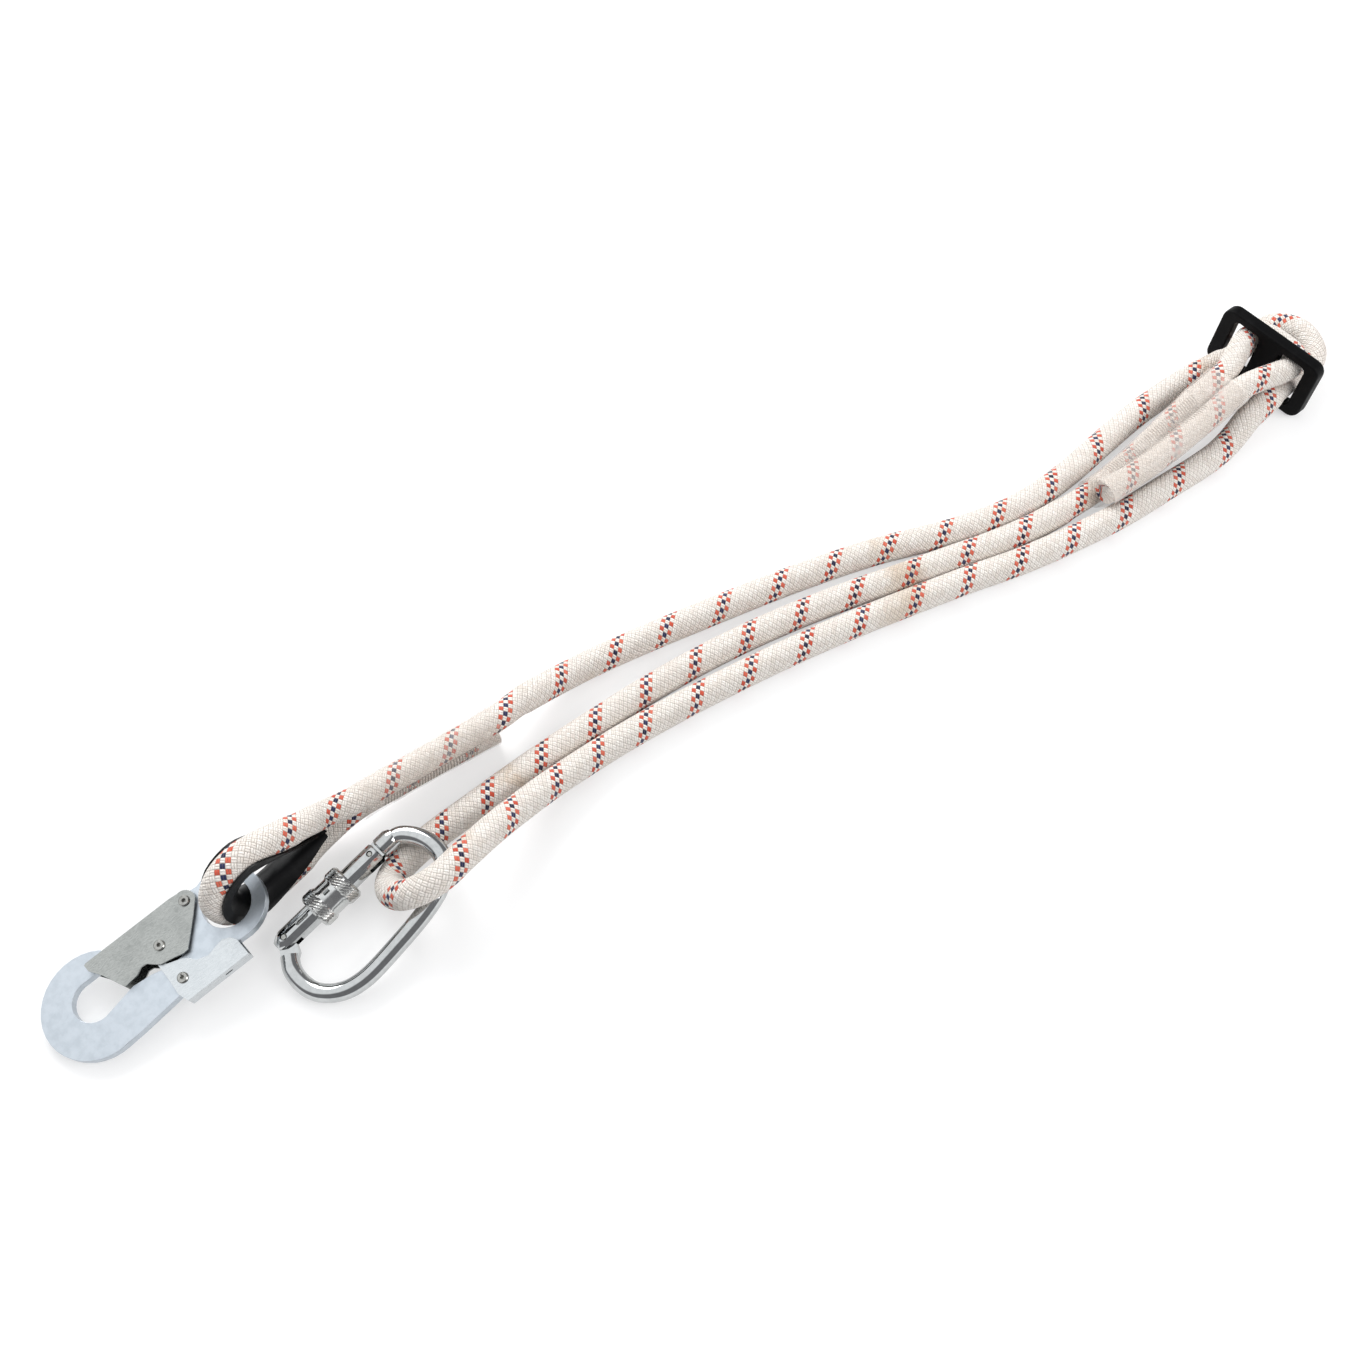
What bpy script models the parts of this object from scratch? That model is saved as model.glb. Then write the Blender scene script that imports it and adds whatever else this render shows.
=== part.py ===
"""Work-positioning lanyard for tree climbing, laid out on the floor.

A 16 mm kernmantle rope carries a double-action snap hook on a thimbled eye, runs to a
two-window slider, turns back to a screw-gate carabiner and ends in a second sewn eye round
the slider's centre bar. Lengths are in metres, +Z is up and +X runs from hook to slider.
"""

import bisect
import math

import bmesh
import bpy
from mathutils import Matrix, Vector

# Shared clearances and facet counts
GAP = 0.0003
CUT_OVERRUN = 0.002
ROUND_SIDES = 24
ROPE_RESOLUTION = 4
ROUTE_FINENESS = 16

# Rope
ROPE_D = 0.016
SEWN_SQUEEZE_SHARE = 0.91
WINDOW_SQUEEZE_SHARE = 0.86
LONGEST_STEP = 0.046
MEETING_SHARE = 1.4
STRAND_SAG = 0.0008
BEND_SAG = 0.00055
ROPE_GAP = 0.0005
FOOT = Vector((0.0269, -0.0123, 0.0))

# Thimble in the hook's eye
GROOVE_WALL = 0.0011
GROOVE_BASE = 0.0022
THIMBLE_LIP = 0.0022
EYE_BEND_R = 0.0205
THIMBLE_TIP_X = 0.0440
THIMBLE_CENTRE = Vector((-0.2530, 0.0165, 0.0293))
THIMBLE_HEADING = math.radians(10.0)
THIMBLE_PITCH = math.radians(-9.0)
THIMBLE_LEAN = math.radians(-4.0)

# Snap hook
HOOK_T = 0.0052
HOOK_EDGE_R = 0.0011
BOWL_R = 0.0276
BOWL_MOUTH_R = 0.0110
BOWL_MOUTH_X = 0.0006
BOWL_MOUTH_Y = 0.0022
NOSE_X = 0.0165
EYE_X = 0.0795
EYE_DROP = 0.0010
EYE_R = 0.0198
EYE_HOLE_R = 0.0130
SEAT_GAP = 0.0011
SEAT_ASIDE = 0.0014
HOOK_HEADING = math.radians(4.0)
HOOK_PITCH = math.radians(9.3)
HOOK_ROLL = math.radians(2.0)

# Hook gate, a folded channel on a rivet
GATE_PIVOT_X = 0.0638
GATE_PIVOT_Y = 0.0138
GATE_BOSS_R = 0.0057
GATE_SHEET = 0.0011
GATE_LENGTH = 0.0560
GATE_FOLD_Y = 0.0199
GATE_BEND_R = 0.0007
WEB_START_X = 0.0177
WEB_END_X = 0.0575
LOCK_PIN_X = 0.0418
LOCK_PIN_Y = 0.0027
LOCK_PIN_R = 0.0019

# Lock lever, a smaller channel inside the gate's
LEVER_PIVOT_X = 0.0421
LEVER_PIVOT_Y = -0.0184
LEVER_SHEET = 0.0010
LEVER_LENGTH = 0.0380
LEVER_BACK_Y = -0.0299
LEVER_SLOT_L = 0.0040
LEVER_SLOT_W = 0.0012

# Tubular rivets
RIVET_R = 0.0021
RIVET_HEAD_R = 0.0029
RIVET_HEAD_T = 0.0007
RIVET_BORE_R = 0.0011
RIVET_BORE_DEPTH = 0.0020
RIVET_RIM_SHARE = 0.82

# Screw-gate carabiner, its seat where the rope's bight bears on its far end
BINER_SEAT = (-0.1747, -0.0237, 0.0202)
BINER_REST_Z = 0.0052
BINER_HEADING = math.radians(10.3)
BINER_ROLL = math.radians(2.2)
BINER_ROD_R = 0.0048
BINER_LENGTH = 0.0943
BINER_HALF_W = 0.0224
BINER_TONGUE_T = 0.0040
BINER_TONGUE_R = 0.0044
BINER_NOSE_R = 0.0061
NOSE_START_SHARE = 0.779
NOSE_END_SHARE = 0.878
NOSE_LIP_SHARE = 0.679
LATCH_SLOT_W = 0.0037
GATE_AXIS_SHARE = 1.004
HINGE_PIN_SHARE = 0.101
HINGE_PIN_R = 0.0016
LATCH_PIN_SHARE = 0.725
LATCH_PIN_R = 0.0014
BINER_GATE_R = 0.0061
GATE_END_SHARE = 0.766
FORK_GAP = 0.0004
FORK_DEPTH = 0.0062
LIP_CLEARANCE = 0.0013
SPRING_WINDOW_SHARE = 0.191
SPRING_WINDOW_L = 0.0080
SPRING_WINDOW_W = 0.0022
SPRING_WINDOW_DEPTH = 0.0030
WINDOW_ROUND_SHARE = 0.45
PIN_END_INSET = 0.0005

# Screw sleeve
SLEEVE_R = 0.0097
SLEEVE_WAIST_R = 0.0091
SLEEVE_L = 0.0240
SLEEVE_START_SHARE = 0.297
SLEEVE_CHAMFER = 0.0009
SLEEVE_BAND_SHARE = 0.36
SLEEVE_WINDOW_L = 0.0036
SLEEVE_WINDOW_W = 0.0020

# Slider frame
FRAME_L = 0.0710
FRAME_H = 0.0410
FRAME_T = 0.0085
FRAME_CORNER_R = 0.0070
FRAME_EDGE_R = 0.0015
FRAME_ARM_W = 0.0092
FRAME_BAR_W = 0.0150
FRAME_RAIL_H = 0.0055
WINDOW_CORNER_R = 0.0034
FRAME_FOOT_X = 0.4185
FRAME_FOOT_Y = -0.0250
FRAME_HEADING = math.radians(7.0)
FRAME_LEAN = math.radians(6.0)
WRAP_U = 0.0069

# Clear sleeves over the sewn splices
SHRINK_WALL = 0.0006
SHRINK_GAP = 0.0004
SHRINK_FLARE = 0.0008
SHRINK_SIDES = 12
SHRINK_STATIONS = 18

ROPE_R = ROPE_D / 2
SEWN_R = ROPE_R * SEWN_SQUEEZE_SHARE
GROOVE_R = ROPE_R + ROPE_GAP
THIMBLE_HALF_W = GROOVE_R + GROOVE_WALL
THIMBLE_MOUTH_R = EYE_BEND_R - GROOVE_R - GROOVE_BASE
GATE_INNER = HOOK_T / 2 + GAP + LEVER_SHEET + GAP
GATE_OUTER = GATE_INNER + GATE_SHEET
LEVER_INNER = HOOK_T / 2 + GAP
LEVER_OUTER = LEVER_INNER + LEVER_SHEET
NOSE_BLOCK_START_X = BINER_LENGTH * NOSE_START_SHARE
NOSE_BLOCK_END_X = BINER_LENGTH * NOSE_END_SHARE
NOSE_LIP_X = BINER_LENGTH * NOSE_LIP_SHARE
GATE_AXIS_Y = BINER_HALF_W * GATE_AXIS_SHARE
HINGE_PIN_X = BINER_LENGTH * HINGE_PIN_SHARE
LATCH_PIN_X = BINER_LENGTH * LATCH_PIN_SHARE
BINER_GATE_END_X = BINER_LENGTH * GATE_END_SHARE
NOSE_FORK_DEPTH = BINER_GATE_END_X - NOSE_LIP_X + LIP_CLEARANCE
SPRING_WINDOW_X = BINER_LENGTH * SPRING_WINDOW_SHARE
SLEEVE_START_X = BINER_LENGTH * SLEEVE_START_SHARE
FRAME_REACH = FRAME_H / 2 * math.cos(FRAME_LEAN) + FRAME_T / 2 * abs(math.sin(FRAME_LEAN))

# The shank's lobe under the gate's boss, a share of the boss's radius
SHANK_BOSS_SHARE = 0.84
# Outline points of the hook's shank, shares of the eye's place and the bowl's radius
SPINE_SHARES = [(0.150, -0.975), (0.277, -0.935), (0.449, -0.890), (0.600, -0.840),
                (0.755, -0.775), (0.880, -0.740)]
SHANK_INNER_SHARES = [(0.700, 0.330), (0.672, 0.060), (0.640, -0.190), (0.590, -0.300),
                      (0.480, -0.295), (0.377, -0.215), (0.252, -0.174)]
# Gate flank below its boss, shares of the gate's length and the fold's height
GATE_FLANK_SHARES = [(1.130, 0.221), (0.925, -0.432), (0.884, -0.442), (0.664, -0.296),
                     (0.564, -0.040), (0.514, -0.025), (0.446, -0.141), (0.309, -0.186),
                     (0.237, 0.241), (0.200, 0.457), (0.123, 0.774), (0.118, 0.975),
                     (0.140, 1.000)]
# Lever flank, shares of the lever's length and of its back's distance, from its pivot
LEVER_FLANK_SHARES = [(-0.105, -1.000), (0.847, -1.000), (0.832, -0.148), (0.776, 0.130),
                      (0.682, 0.287), (0.558, 0.209), (0.424, 0.096), (0.271, 0.261),
                      (0.184, 0.617), (0.118, 0.757), (-0.071, 0.990), (-0.079, 1.690),
                      (-0.176, 1.690), (-0.160, 0.296), (-0.163, -0.504)]
# Carabiner rod, shares of its length and of its half width
ROD_SHARES = [(0.053, 0.660), (0.015, 0.380), (0.005, 0.020), (0.019, -0.307),
              (0.055, -0.561), (0.114, -0.785), (0.190, -0.930), (0.300, -0.995),
              (0.490, -0.955), (0.690, -0.873), (0.845, -0.724), (0.940, -0.482),
              (0.992, -0.197), (1.001, 0.132), (0.988, 0.430), (0.957, 0.702),
              (0.905, 0.930), (0.830, 0.985)]

# The nose's chamfer and its lip from tip to root and back, shares of the nose's radius
NOSE_CHAMFER_SHARE = 0.16
LIP_SHARES = [-0.49, -0.82, 0.82, 0.74]
# Edges of the hinge's tongue beside the rod, along and across, shares of the rod's radius
TONGUE_SHARES = [(0.70, 0.00), (1.05, -0.50), (-0.80, 0.30), (-0.70, 0.00)]
# The gate's hinge end, (radius, back from the pin), shares of the gate's radius
GATE_TAIL_SHARES = [(0.55, -1.00), (0.90, -0.45), (1.00, 0.00)]
GATE_CHAMFER_SHARE = 0.12

# Where the rope bears on the rod, the ends of the chord the carabiner swings about
SWING_SHARES = [(0.846, -0.759), (0.976, 0.625)]

# The rope's route, from the tail in the hook's splice to the tail in the slider's splice
HOOK_TAIL = [(-0.1040, 0.0291, 0.0086), (-0.1350, 0.0298, 0.0098), (-0.1640, 0.0292, 0.0126),
             (-0.1900, 0.0274, 0.0164)]
HOOK_MAIN = [(-0.1900, 0.0235, 0.0316), (-0.1640, 0.0250, 0.0279), (-0.1350, 0.0263, 0.0249),
             (-0.1040, 0.0270, 0.0237)]
UPPER_STRAND = [(-0.0870, 0.0304, 0.0205), (-0.0710, 0.0332, 0.0152), (-0.0540, 0.0350, 0.0105),
                (-0.0360, 0.0350, 0.0083), (-0.0050, 0.0314, 0.0081), (0.0300, 0.0261, 0.0081),
                (0.0680, 0.0200, 0.0081), (0.1050, 0.0130, 0.0081), (0.1400, 0.0046, 0.0081),
                (0.1760, -0.0069, 0.0081), (0.2050, -0.0145, 0.0081), (0.2340, -0.0180, 0.0081),
                (0.2660, -0.0162, 0.0081), (0.3010, -0.0105, 0.0081), (0.3300, -0.0060, 0.0082),
                (0.3560, -0.0042, 0.0092), (0.3790, -0.0054, 0.0130)]
# The long rope's way through both windows, in the slider's frame
SLIDER_PASS = [(-0.0300, 0.0228, -0.0104), (-0.0080, 0.0184, -0.0077), (0.0080, 0.0178, -0.0070),
               (0.0230, 0.0186, -0.0044), (0.0320, 0.0142, -0.0002), (0.0370, 0.0000, 0.0022),
               (0.0320, -0.0142, -0.0002), (0.0230, -0.0186, -0.0044),
               (0.0080, -0.0178, -0.0070), (-0.0080, -0.0183, -0.0077),
               (-0.0300, -0.0192, -0.0104)]
LOWER_STRAND = [(0.3830, -0.0492, 0.0132), (0.3640, -0.0542, 0.0094), (0.3440, -0.0566, 0.0081),
                (0.3100, -0.0568, 0.0081), (0.2750, -0.0566, 0.0081), (0.2400, -0.0534, 0.0081),
                (0.2060, -0.0486, 0.0081), (0.1720, -0.0412, 0.0081), (0.1350, -0.0340, 0.0081),
                (0.1000, -0.0278, 0.0081), (0.0650, -0.0228, 0.0081), (0.0300, -0.0190, 0.0081),
                (-0.0100, -0.0158, 0.0081), (-0.0450, -0.0146, 0.0084), (-0.0720, -0.0156, 0.0100),
                (-0.0980, -0.0188, 0.0146), (-0.1190, -0.0234, 0.0202)]
BINER_BIGHT = [(-0.1380, -0.0288, 0.0266), (-0.1570, -0.0350, 0.0320), (-0.1750, -0.0398, 0.0338),
               (-0.1885, -0.0374, 0.0291), (-0.1960, -0.0295, 0.0196), (-0.1965, -0.0210, 0.0130),
               (-0.1910, -0.0142, 0.0097), (-0.1810, -0.0100, 0.0083), (-0.1690, -0.0073, 0.0081),
               (-0.1560, -0.0055, 0.0081), (-0.1400, -0.0040, 0.0081)]
MIDDLE_STRAND = [(-0.1150, -0.0016, 0.0081), (-0.0870, 0.0006, 0.0081), (-0.0540, 0.0022, 0.0081),
                 (-0.0200, 0.0030, 0.0081), (0.0130, 0.0022, 0.0081), (0.0450, -0.0004, 0.0081),
                 (0.0770, -0.0047, 0.0081), (0.1110, -0.0110, 0.0081), (0.1400, -0.0174, 0.0081),
                 (0.1720, -0.0242, 0.0081), (0.2040, -0.0310, 0.0082), (0.2330, -0.0348, 0.0088)]
SLIDER_MAIN = [(0.2680, -0.0356, 0.0100), (0.2980, -0.0328, 0.0116), (0.3280, -0.0287, 0.0168),
               (0.3580, -0.0243, 0.0230), (0.3860, -0.0214, 0.0286)]
SLIDER_TAIL = [(0.2680, -0.0452, 0.0222), (0.2980, -0.0447, 0.0219), (0.3280, -0.0427, 0.0238),
               (0.3580, -0.0399, 0.0270), (0.3860, -0.0372, 0.0302)]

# Places round the eye's bend, in the thimble's plane, shares of the bend's radius
EYE_ARC_DEGREES = [-75, -105, -140, -180, 140, 105, 75]
# How far down the groove the thimble's lips run by its tip, and the stations along a leg
LIP_FALL_SHARE = 0.93
LEG_SHARES = [0.0, 0.33, 0.67, 1.0]
# How far the lower rope leg leaves the groove, aside and outward, shares of the rope's radius
LOWER_LEAVE_SHARES = [(0.25, 0.11), (0.08, 0.07)]


def clear_scene():
    """Remove what a new file holds."""
    for obj in list(bpy.data.objects):
        bpy.data.objects.remove(obj, do_unlink=True)


def make_material(name, colour, roughness, metallic=0.0, alpha=1.0):
    """Return a Principled material."""
    material = bpy.data.materials.new(name)
    material.use_nodes = True
    shader = material.node_tree.nodes["Principled BSDF"]
    shader.inputs["Base Color"].default_value = (*colour, 1.0)
    shader.inputs["Roughness"].default_value = roughness
    shader.inputs["Metallic"].default_value = metallic
    shader.inputs["Alpha"].default_value = alpha
    material.diffuse_color = (*colour, alpha)
    return material


def pose(origin, heading, pitch, roll):
    """Return a frame turned by heading, then raised at its +X end, then rolled."""
    turn = Matrix.Rotation(heading, 4, "Z")
    turn = turn @ Matrix.Rotation(-pitch, 4, "Y")
    turn = turn @ Matrix.Rotation(roll, 4, "X")
    return Matrix.Translation(origin) @ turn


def add_axis(name, matrix, parent=None):
    """Return an empty that stands on a joint's axis."""
    empty = bpy.data.objects.new(name, None)
    empty.empty_display_size = ROPE_D
    bpy.context.scene.collection.objects.link(empty)
    attach(empty, matrix, parent)
    return empty


def attach(obj, matrix, parent):
    """Place an object at a world matrix under its parent."""
    if parent is None:
        obj.matrix_basis = matrix
        obj["world"] = [value for row in matrix for value in row]
        return
    base = world_of(parent)
    obj.parent = parent
    obj.matrix_basis = base.inverted() @ matrix
    obj["world"] = [value for row in matrix for value in row]


def world_of(obj):
    """Return the world matrix that attach stored."""
    flat = list(obj["world"])
    return Matrix([flat[0:4], flat[4:8], flat[8:12], flat[12:16]])


def add_mesh(name, bm, material, matrix, parent=None):
    """Turn a bmesh into a named object in place."""
    bmesh.ops.recalc_face_normals(bm, faces=bm.faces)
    mesh = bpy.data.meshes.new(name)
    bm.to_mesh(mesh)
    bm.free()
    mesh.shade_smooth()
    mesh.set_sharp_from_angle(angle=math.radians(38))
    obj = bpy.data.objects.new(name, mesh)
    mesh.materials.append(material)
    bpy.context.scene.collection.objects.link(obj)
    attach(obj, matrix, parent)
    return obj


def bevel(obj, width):
    """Round an object's sharp edges."""
    modifier = obj.modifiers.new("edge", "BEVEL")
    modifier.width = width
    modifier.segments = 2
    modifier.limit_method = "ANGLE"
    modifier.angle_limit = math.radians(40)
    modifier.use_clamp_overlap = True


def combine(obj, other, operation):
    """Apply one exact Boolean, with the other piece kept out of sight."""
    other.hide_render = True
    other.display_type = "WIRE"
    other.parent = obj
    other.matrix_basis = world_of(obj).inverted() @ world_of(other)
    modifier = obj.modifiers.new(operation.lower(), "BOOLEAN")
    modifier.operation = operation
    modifier.solver = "EXACT"
    modifier.object = other


def arc(cx, cy, radius, start, end, steps):
    """Return points on a circular arc, angles in degrees."""
    points = []
    for index in range(steps + 1):
        angle = math.radians(start + (end - start) * index / steps)
        points.append((cx + radius * math.cos(angle), cy + radius * math.sin(angle)))
    return points


def prism(points, low, high):
    """Extrude a flat outline from one height to another."""
    bm = bmesh.new()
    floor = [bm.verts.new((x, y, low)) for x, y in points]
    face = bm.faces.new(floor)
    grown = bmesh.ops.extrude_face_region(bm, geom=[face])
    roof = [item for item in grown["geom"] if isinstance(item, bmesh.types.BMVert)]
    bmesh.ops.translate(bm, verts=roof, vec=(0, 0, high - low))
    return bm


def box(low, high):
    """Return a box between two corners."""
    return prism([(low[0], low[1]), (high[0], low[1]), (high[0], high[1]), (low[0], high[1])],
                 low[2], high[2])


def rounded_rectangle(width, height, radius, steps=5):
    """Return a rectangle's outline with round corners, centred on zero."""
    dx = width / 2 - radius
    dy = height / 2 - radius
    return (arc(dx, dy, radius, 0, 90, steps) + arc(-dx, dy, radius, 90, 180, steps)
            + arc(-dx, -dy, radius, 180, 270, steps) + arc(dx, -dy, radius, 270, 360, steps))


def turned(profile, sides=ROUND_SIDES):
    """Spin a closed profile of (radius, height) about Z."""
    bm = bmesh.new()
    rings = []
    for radius, height in profile:
        if radius == 0:
            rings.append([bm.verts.new((0, 0, height))])
            continue
        ring = []
        for index in range(sides):
            angle = 2 * math.pi * index / sides
            ring.append(bm.verts.new((radius * math.cos(angle), radius * math.sin(angle), height)))
        rings.append(ring)
    closed = profile[0][0] != 0
    count = len(rings) if closed else len(rings) - 1
    for index in range(count):
        join_rings(bm, rings[index], rings[(index + 1) % len(rings)])
    return bm


def join_rings(bm, first, second):
    """Bridge two rings, either of which may be a single point."""
    sides = max(len(first), len(second))
    for index in range(sides):
        after = (index + 1) % sides
        corners = [first[index % len(first)], first[after % len(first)],
                   second[after % len(second)], second[index % len(second)]]
        unique = []
        for corner in corners:
            if corner not in unique:
                unique.append(corner)
        bm.faces.new(unique)


def cylinder(radius, low, high, sides=ROUND_SIDES):
    """Return a solid cylinder along Z."""
    return turned([(0, low), (radius, low), (radius, high), (0, high)], sides)


def catmull(points, position):
    """Read a smooth curve through the points at a position in point counts."""
    last = len(points) - 1
    index = min(int(position), last - 1)
    share = position - index
    before = points[max(index - 1, 0)]
    start = points[index]
    end = points[index + 1]
    after = points[min(index + 2, last)]
    return (start * 2 + (end - before) * share
            + (before * 2 - start * 5 + end * 4 - after) * share ** 2
            + (start * 3 - before - end * 3 + after) * share ** 3) / 2


class Route:
    """A smooth curve through chosen points, read by running length."""

    def __init__(self, points):
        self.points = [Vector(point) for point in points]
        steps = (len(points) - 1) * ROUTE_FINENESS
        self.track = [catmull(self.points, step / ROUTE_FINENESS) for step in range(steps + 1)]
        self.lengths = [0.0]
        for first, second in zip(self.track, self.track[1:]):
            self.lengths.append(self.lengths[-1] + (second - first).length)

    def length_at(self, index):
        """Return the running length at one of the chosen points."""
        return self.lengths[index * ROUTE_FINENESS]

    def at(self, length):
        """Return the place at a running length."""
        upper = min(bisect.bisect_right(self.lengths, length), len(self.lengths) - 1)
        span = self.lengths[upper] - self.lengths[upper - 1]
        share = (length - self.lengths[upper - 1]) / span
        return self.track[upper - 1].lerp(self.track[upper], share)

    def direction(self, length):
        """Return the unit tangent at a running length."""
        reach = self.lengths[-1] / len(self.lengths) / 2
        return (self.at(min(length + reach, self.lengths[-1]))
                - self.at(max(length - reach, 0.0))).normalized()

    def bend(self, length, reach):
        """Return the curvature near a running length."""
        behind = self.direction(max(length - reach, 0.0))
        ahead = self.direction(min(length + reach, self.lengths[-1]))
        return behind.angle(ahead, 0.0) / (2 * reach)

    def places(self, start, end, sag, longest):
        """Return points whose chords leave the curve by no more than a sag."""
        reach = sag * 6
        share = 0.0
        crowding = [0.0]
        marks = [start]
        length = start
        while length < end - reach / 2:
            after = min(length + reach, end)
            tight = max(self.bend((length + after) / 2, reach), 8 * sag / longest ** 2)
            share += (after - length) * math.sqrt(tight / (8 * sag))
            crowding.append(share)
            marks.append(after)
            length = after
        count = max(1, math.ceil(share))
        result = []
        index = 0
        for number in range(count + 1):
            target = share * number / count
            while index < len(marks) - 2 and crowding[index + 1] < target:
                index += 1
            span = crowding[index + 1] - crowding[index]
            part = min((target - crowding[index]) / span, 1.0)
            result.append(marks[index] + (marks[index + 1] - marks[index]) * part)
        return result


def frames_along(points):
    """Return one turned frame for each point, with no twist between them."""
    frames = []
    side = None
    last = len(points) - 1
    for index, point in enumerate(points):
        ahead = points[min(index + 1, last)]
        behind = points[max(index - 1, 0)]
        tangent = (ahead - behind).normalized()
        if side is None:
            side = tangent.orthogonal().normalized()
        side = (side - tangent * side.dot(tangent)).normalized()
        frames.append((point, side, tangent.cross(side)))
    return frames


def swept_rod(points, radius, sides):
    """Sweep a round section along points and cap it."""
    bm = bmesh.new()
    rings = []
    for point, side, up in frames_along(points):
        ring = []
        for index in range(sides):
            angle = 2 * math.pi * index / sides
            ring.append(bm.verts.new(point + side * radius * math.cos(angle)
                                     + up * radius * math.sin(angle)))
        rings.append(ring)
    for first, second in zip(rings, rings[1:]):
        join_rings(bm, first, second)
    bm.faces.new(rings[0])
    bm.faces.new(rings[-1])
    return bm


def on_floor(point):
    """Move a laid-out place into the part's own frame."""
    return Vector(point) - FOOT


def shares_to_points(shares, length, height, x=0.0, y=0.0):
    """Scale a table of shares."""
    return [(x + a * length, y + b * height) for a, b in shares]


class Thimble:
    """The thimble's plane and the rope's bend in it."""

    def __init__(self):
        self.centre = on_floor(THIMBLE_CENTRE)
        self.frame = pose(self.centre, THIMBLE_HEADING, THIMBLE_PITCH, math.pi / 2 + THIMBLE_LEAN)
        self.tip_y = GROOVE_R + GROOVE_WALL + GAP * 2

    def place(self, along, across, aside=0.0):
        """Return a world place in the thimble's plane, or off it to the far side."""
        return self.frame @ Vector((along, across, -aside))

    def bend(self, radius):
        """Return a line round the thimble at a bend radius, lower tip to upper tip."""
        tangent = radius * math.cos(math.radians(EYE_ARC_DEGREES[-1]))
        rise = radius * math.sin(math.radians(EYE_ARC_DEGREES[-1]))
        upper = []
        for share in LEG_SHARES:
            upper.append((tangent + (THIMBLE_TIP_X - tangent) * share,
                          rise + (self.tip_y - rise) * share))
        lower = [(x, -y) for x, y in upper[::-1]]
        bend = []
        for angle in EYE_ARC_DEGREES[1:-1]:
            bend.append((radius * math.cos(math.radians(angle)),
                         radius * math.sin(math.radians(angle))))
        return lower + bend + upper


def hook_frame(thimble):
    """Return the hook's frame, its far eye wall seated in the thimble's mouth."""
    wall = EYE_R - EYE_HOLE_R
    turn = pose(Vector((0, 0, 0)), HOOK_HEADING, HOOK_PITCH, HOOK_ROLL)
    reach = math.hypot(wall / 2 * math.sin(HOOK_PITCH), HOOK_T / 2)
    reach += wall / 2 * math.sin(HOOK_PITCH)
    seat = thimble.centre + Vector((GAP, -SEAT_ASIDE, SEAT_GAP + reach - THIMBLE_MOUTH_R))
    return Matrix.Translation(seat - turn @ Vector((EYE_X + EYE_HOLE_R + wall / 2, 0, 0))) @ turn


def slider_frame():
    """Return the slider frame's axes: X through it, Y along it, Z up its face."""
    foot = on_floor((FRAME_FOOT_X, FRAME_FOOT_Y, FRAME_REACH))
    return pose(foot, FRAME_HEADING, -FRAME_LEAN, 0.0)


def build_thimble(thimble, material):
    """Make the grooved teardrop, whose lips run down to its split tip."""
    path = [Vector((x, y, 0)) for x, y in thimble.bend(EYE_BEND_R)]
    steps = (len(path) - 1) * 3
    stations = [catmull(path, index / 3) for index in range(steps + 1)]
    bm = bmesh.new()
    rings = []
    for index, point in enumerate(stations):
        tangent = (stations[min(index + 1, steps)] - stations[max(index - 1, 0)]).normalized()
        inward = Vector((0, 0, 1)).cross(tangent).normalized()
        if inward.dot(point) > 0:
            inward = -inward
        if index in (0, steps):
            inward = Vector((0, math.copysign(1.0, -point.y), 0))
        share = min(max(point.x / THIMBLE_TIP_X, 0.0), 1.0)
        ring = []
        for offset, side in thimble_section(share):
            ring.append(bm.verts.new(point + inward * offset + Vector((0, 0, side))))
        rings.append(ring)
    for first, second in zip(rings, rings[1:]):
        join_rings(bm, first, second)
    bm.faces.new(rings[0])
    bm.faces.new(rings[-1])
    add_mesh("thimble", bm, material, thimble.frame)


def thimble_section(share, steps=6):
    """Return the groove's section, (towards the mouth, sideways), at a share of the way to the tip."""
    lip = -THIMBLE_LIP + (GROOVE_R * LIP_FALL_SHARE + THIMBLE_LIP) * share
    base = GROOVE_R + GROOVE_BASE + (GROOVE_WALL - GROOVE_BASE) * share
    outer = []
    inner = []
    for depth, width, line in ((base, THIMBLE_HALF_W, outer), (GROOVE_R, GROOVE_R, inner)):
        start = math.asin(max(lip, 0.0) / depth)
        line.append((lip, width * math.cos(start)))
        for index in range(steps):
            angle = start + (math.pi - 2 * start) * (index + 0.5) / steps
            line.append((depth * math.sin(angle), width * math.cos(angle)))
        line.append((lip, -width * math.cos(start)))
    return outer + inner[::-1]


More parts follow.
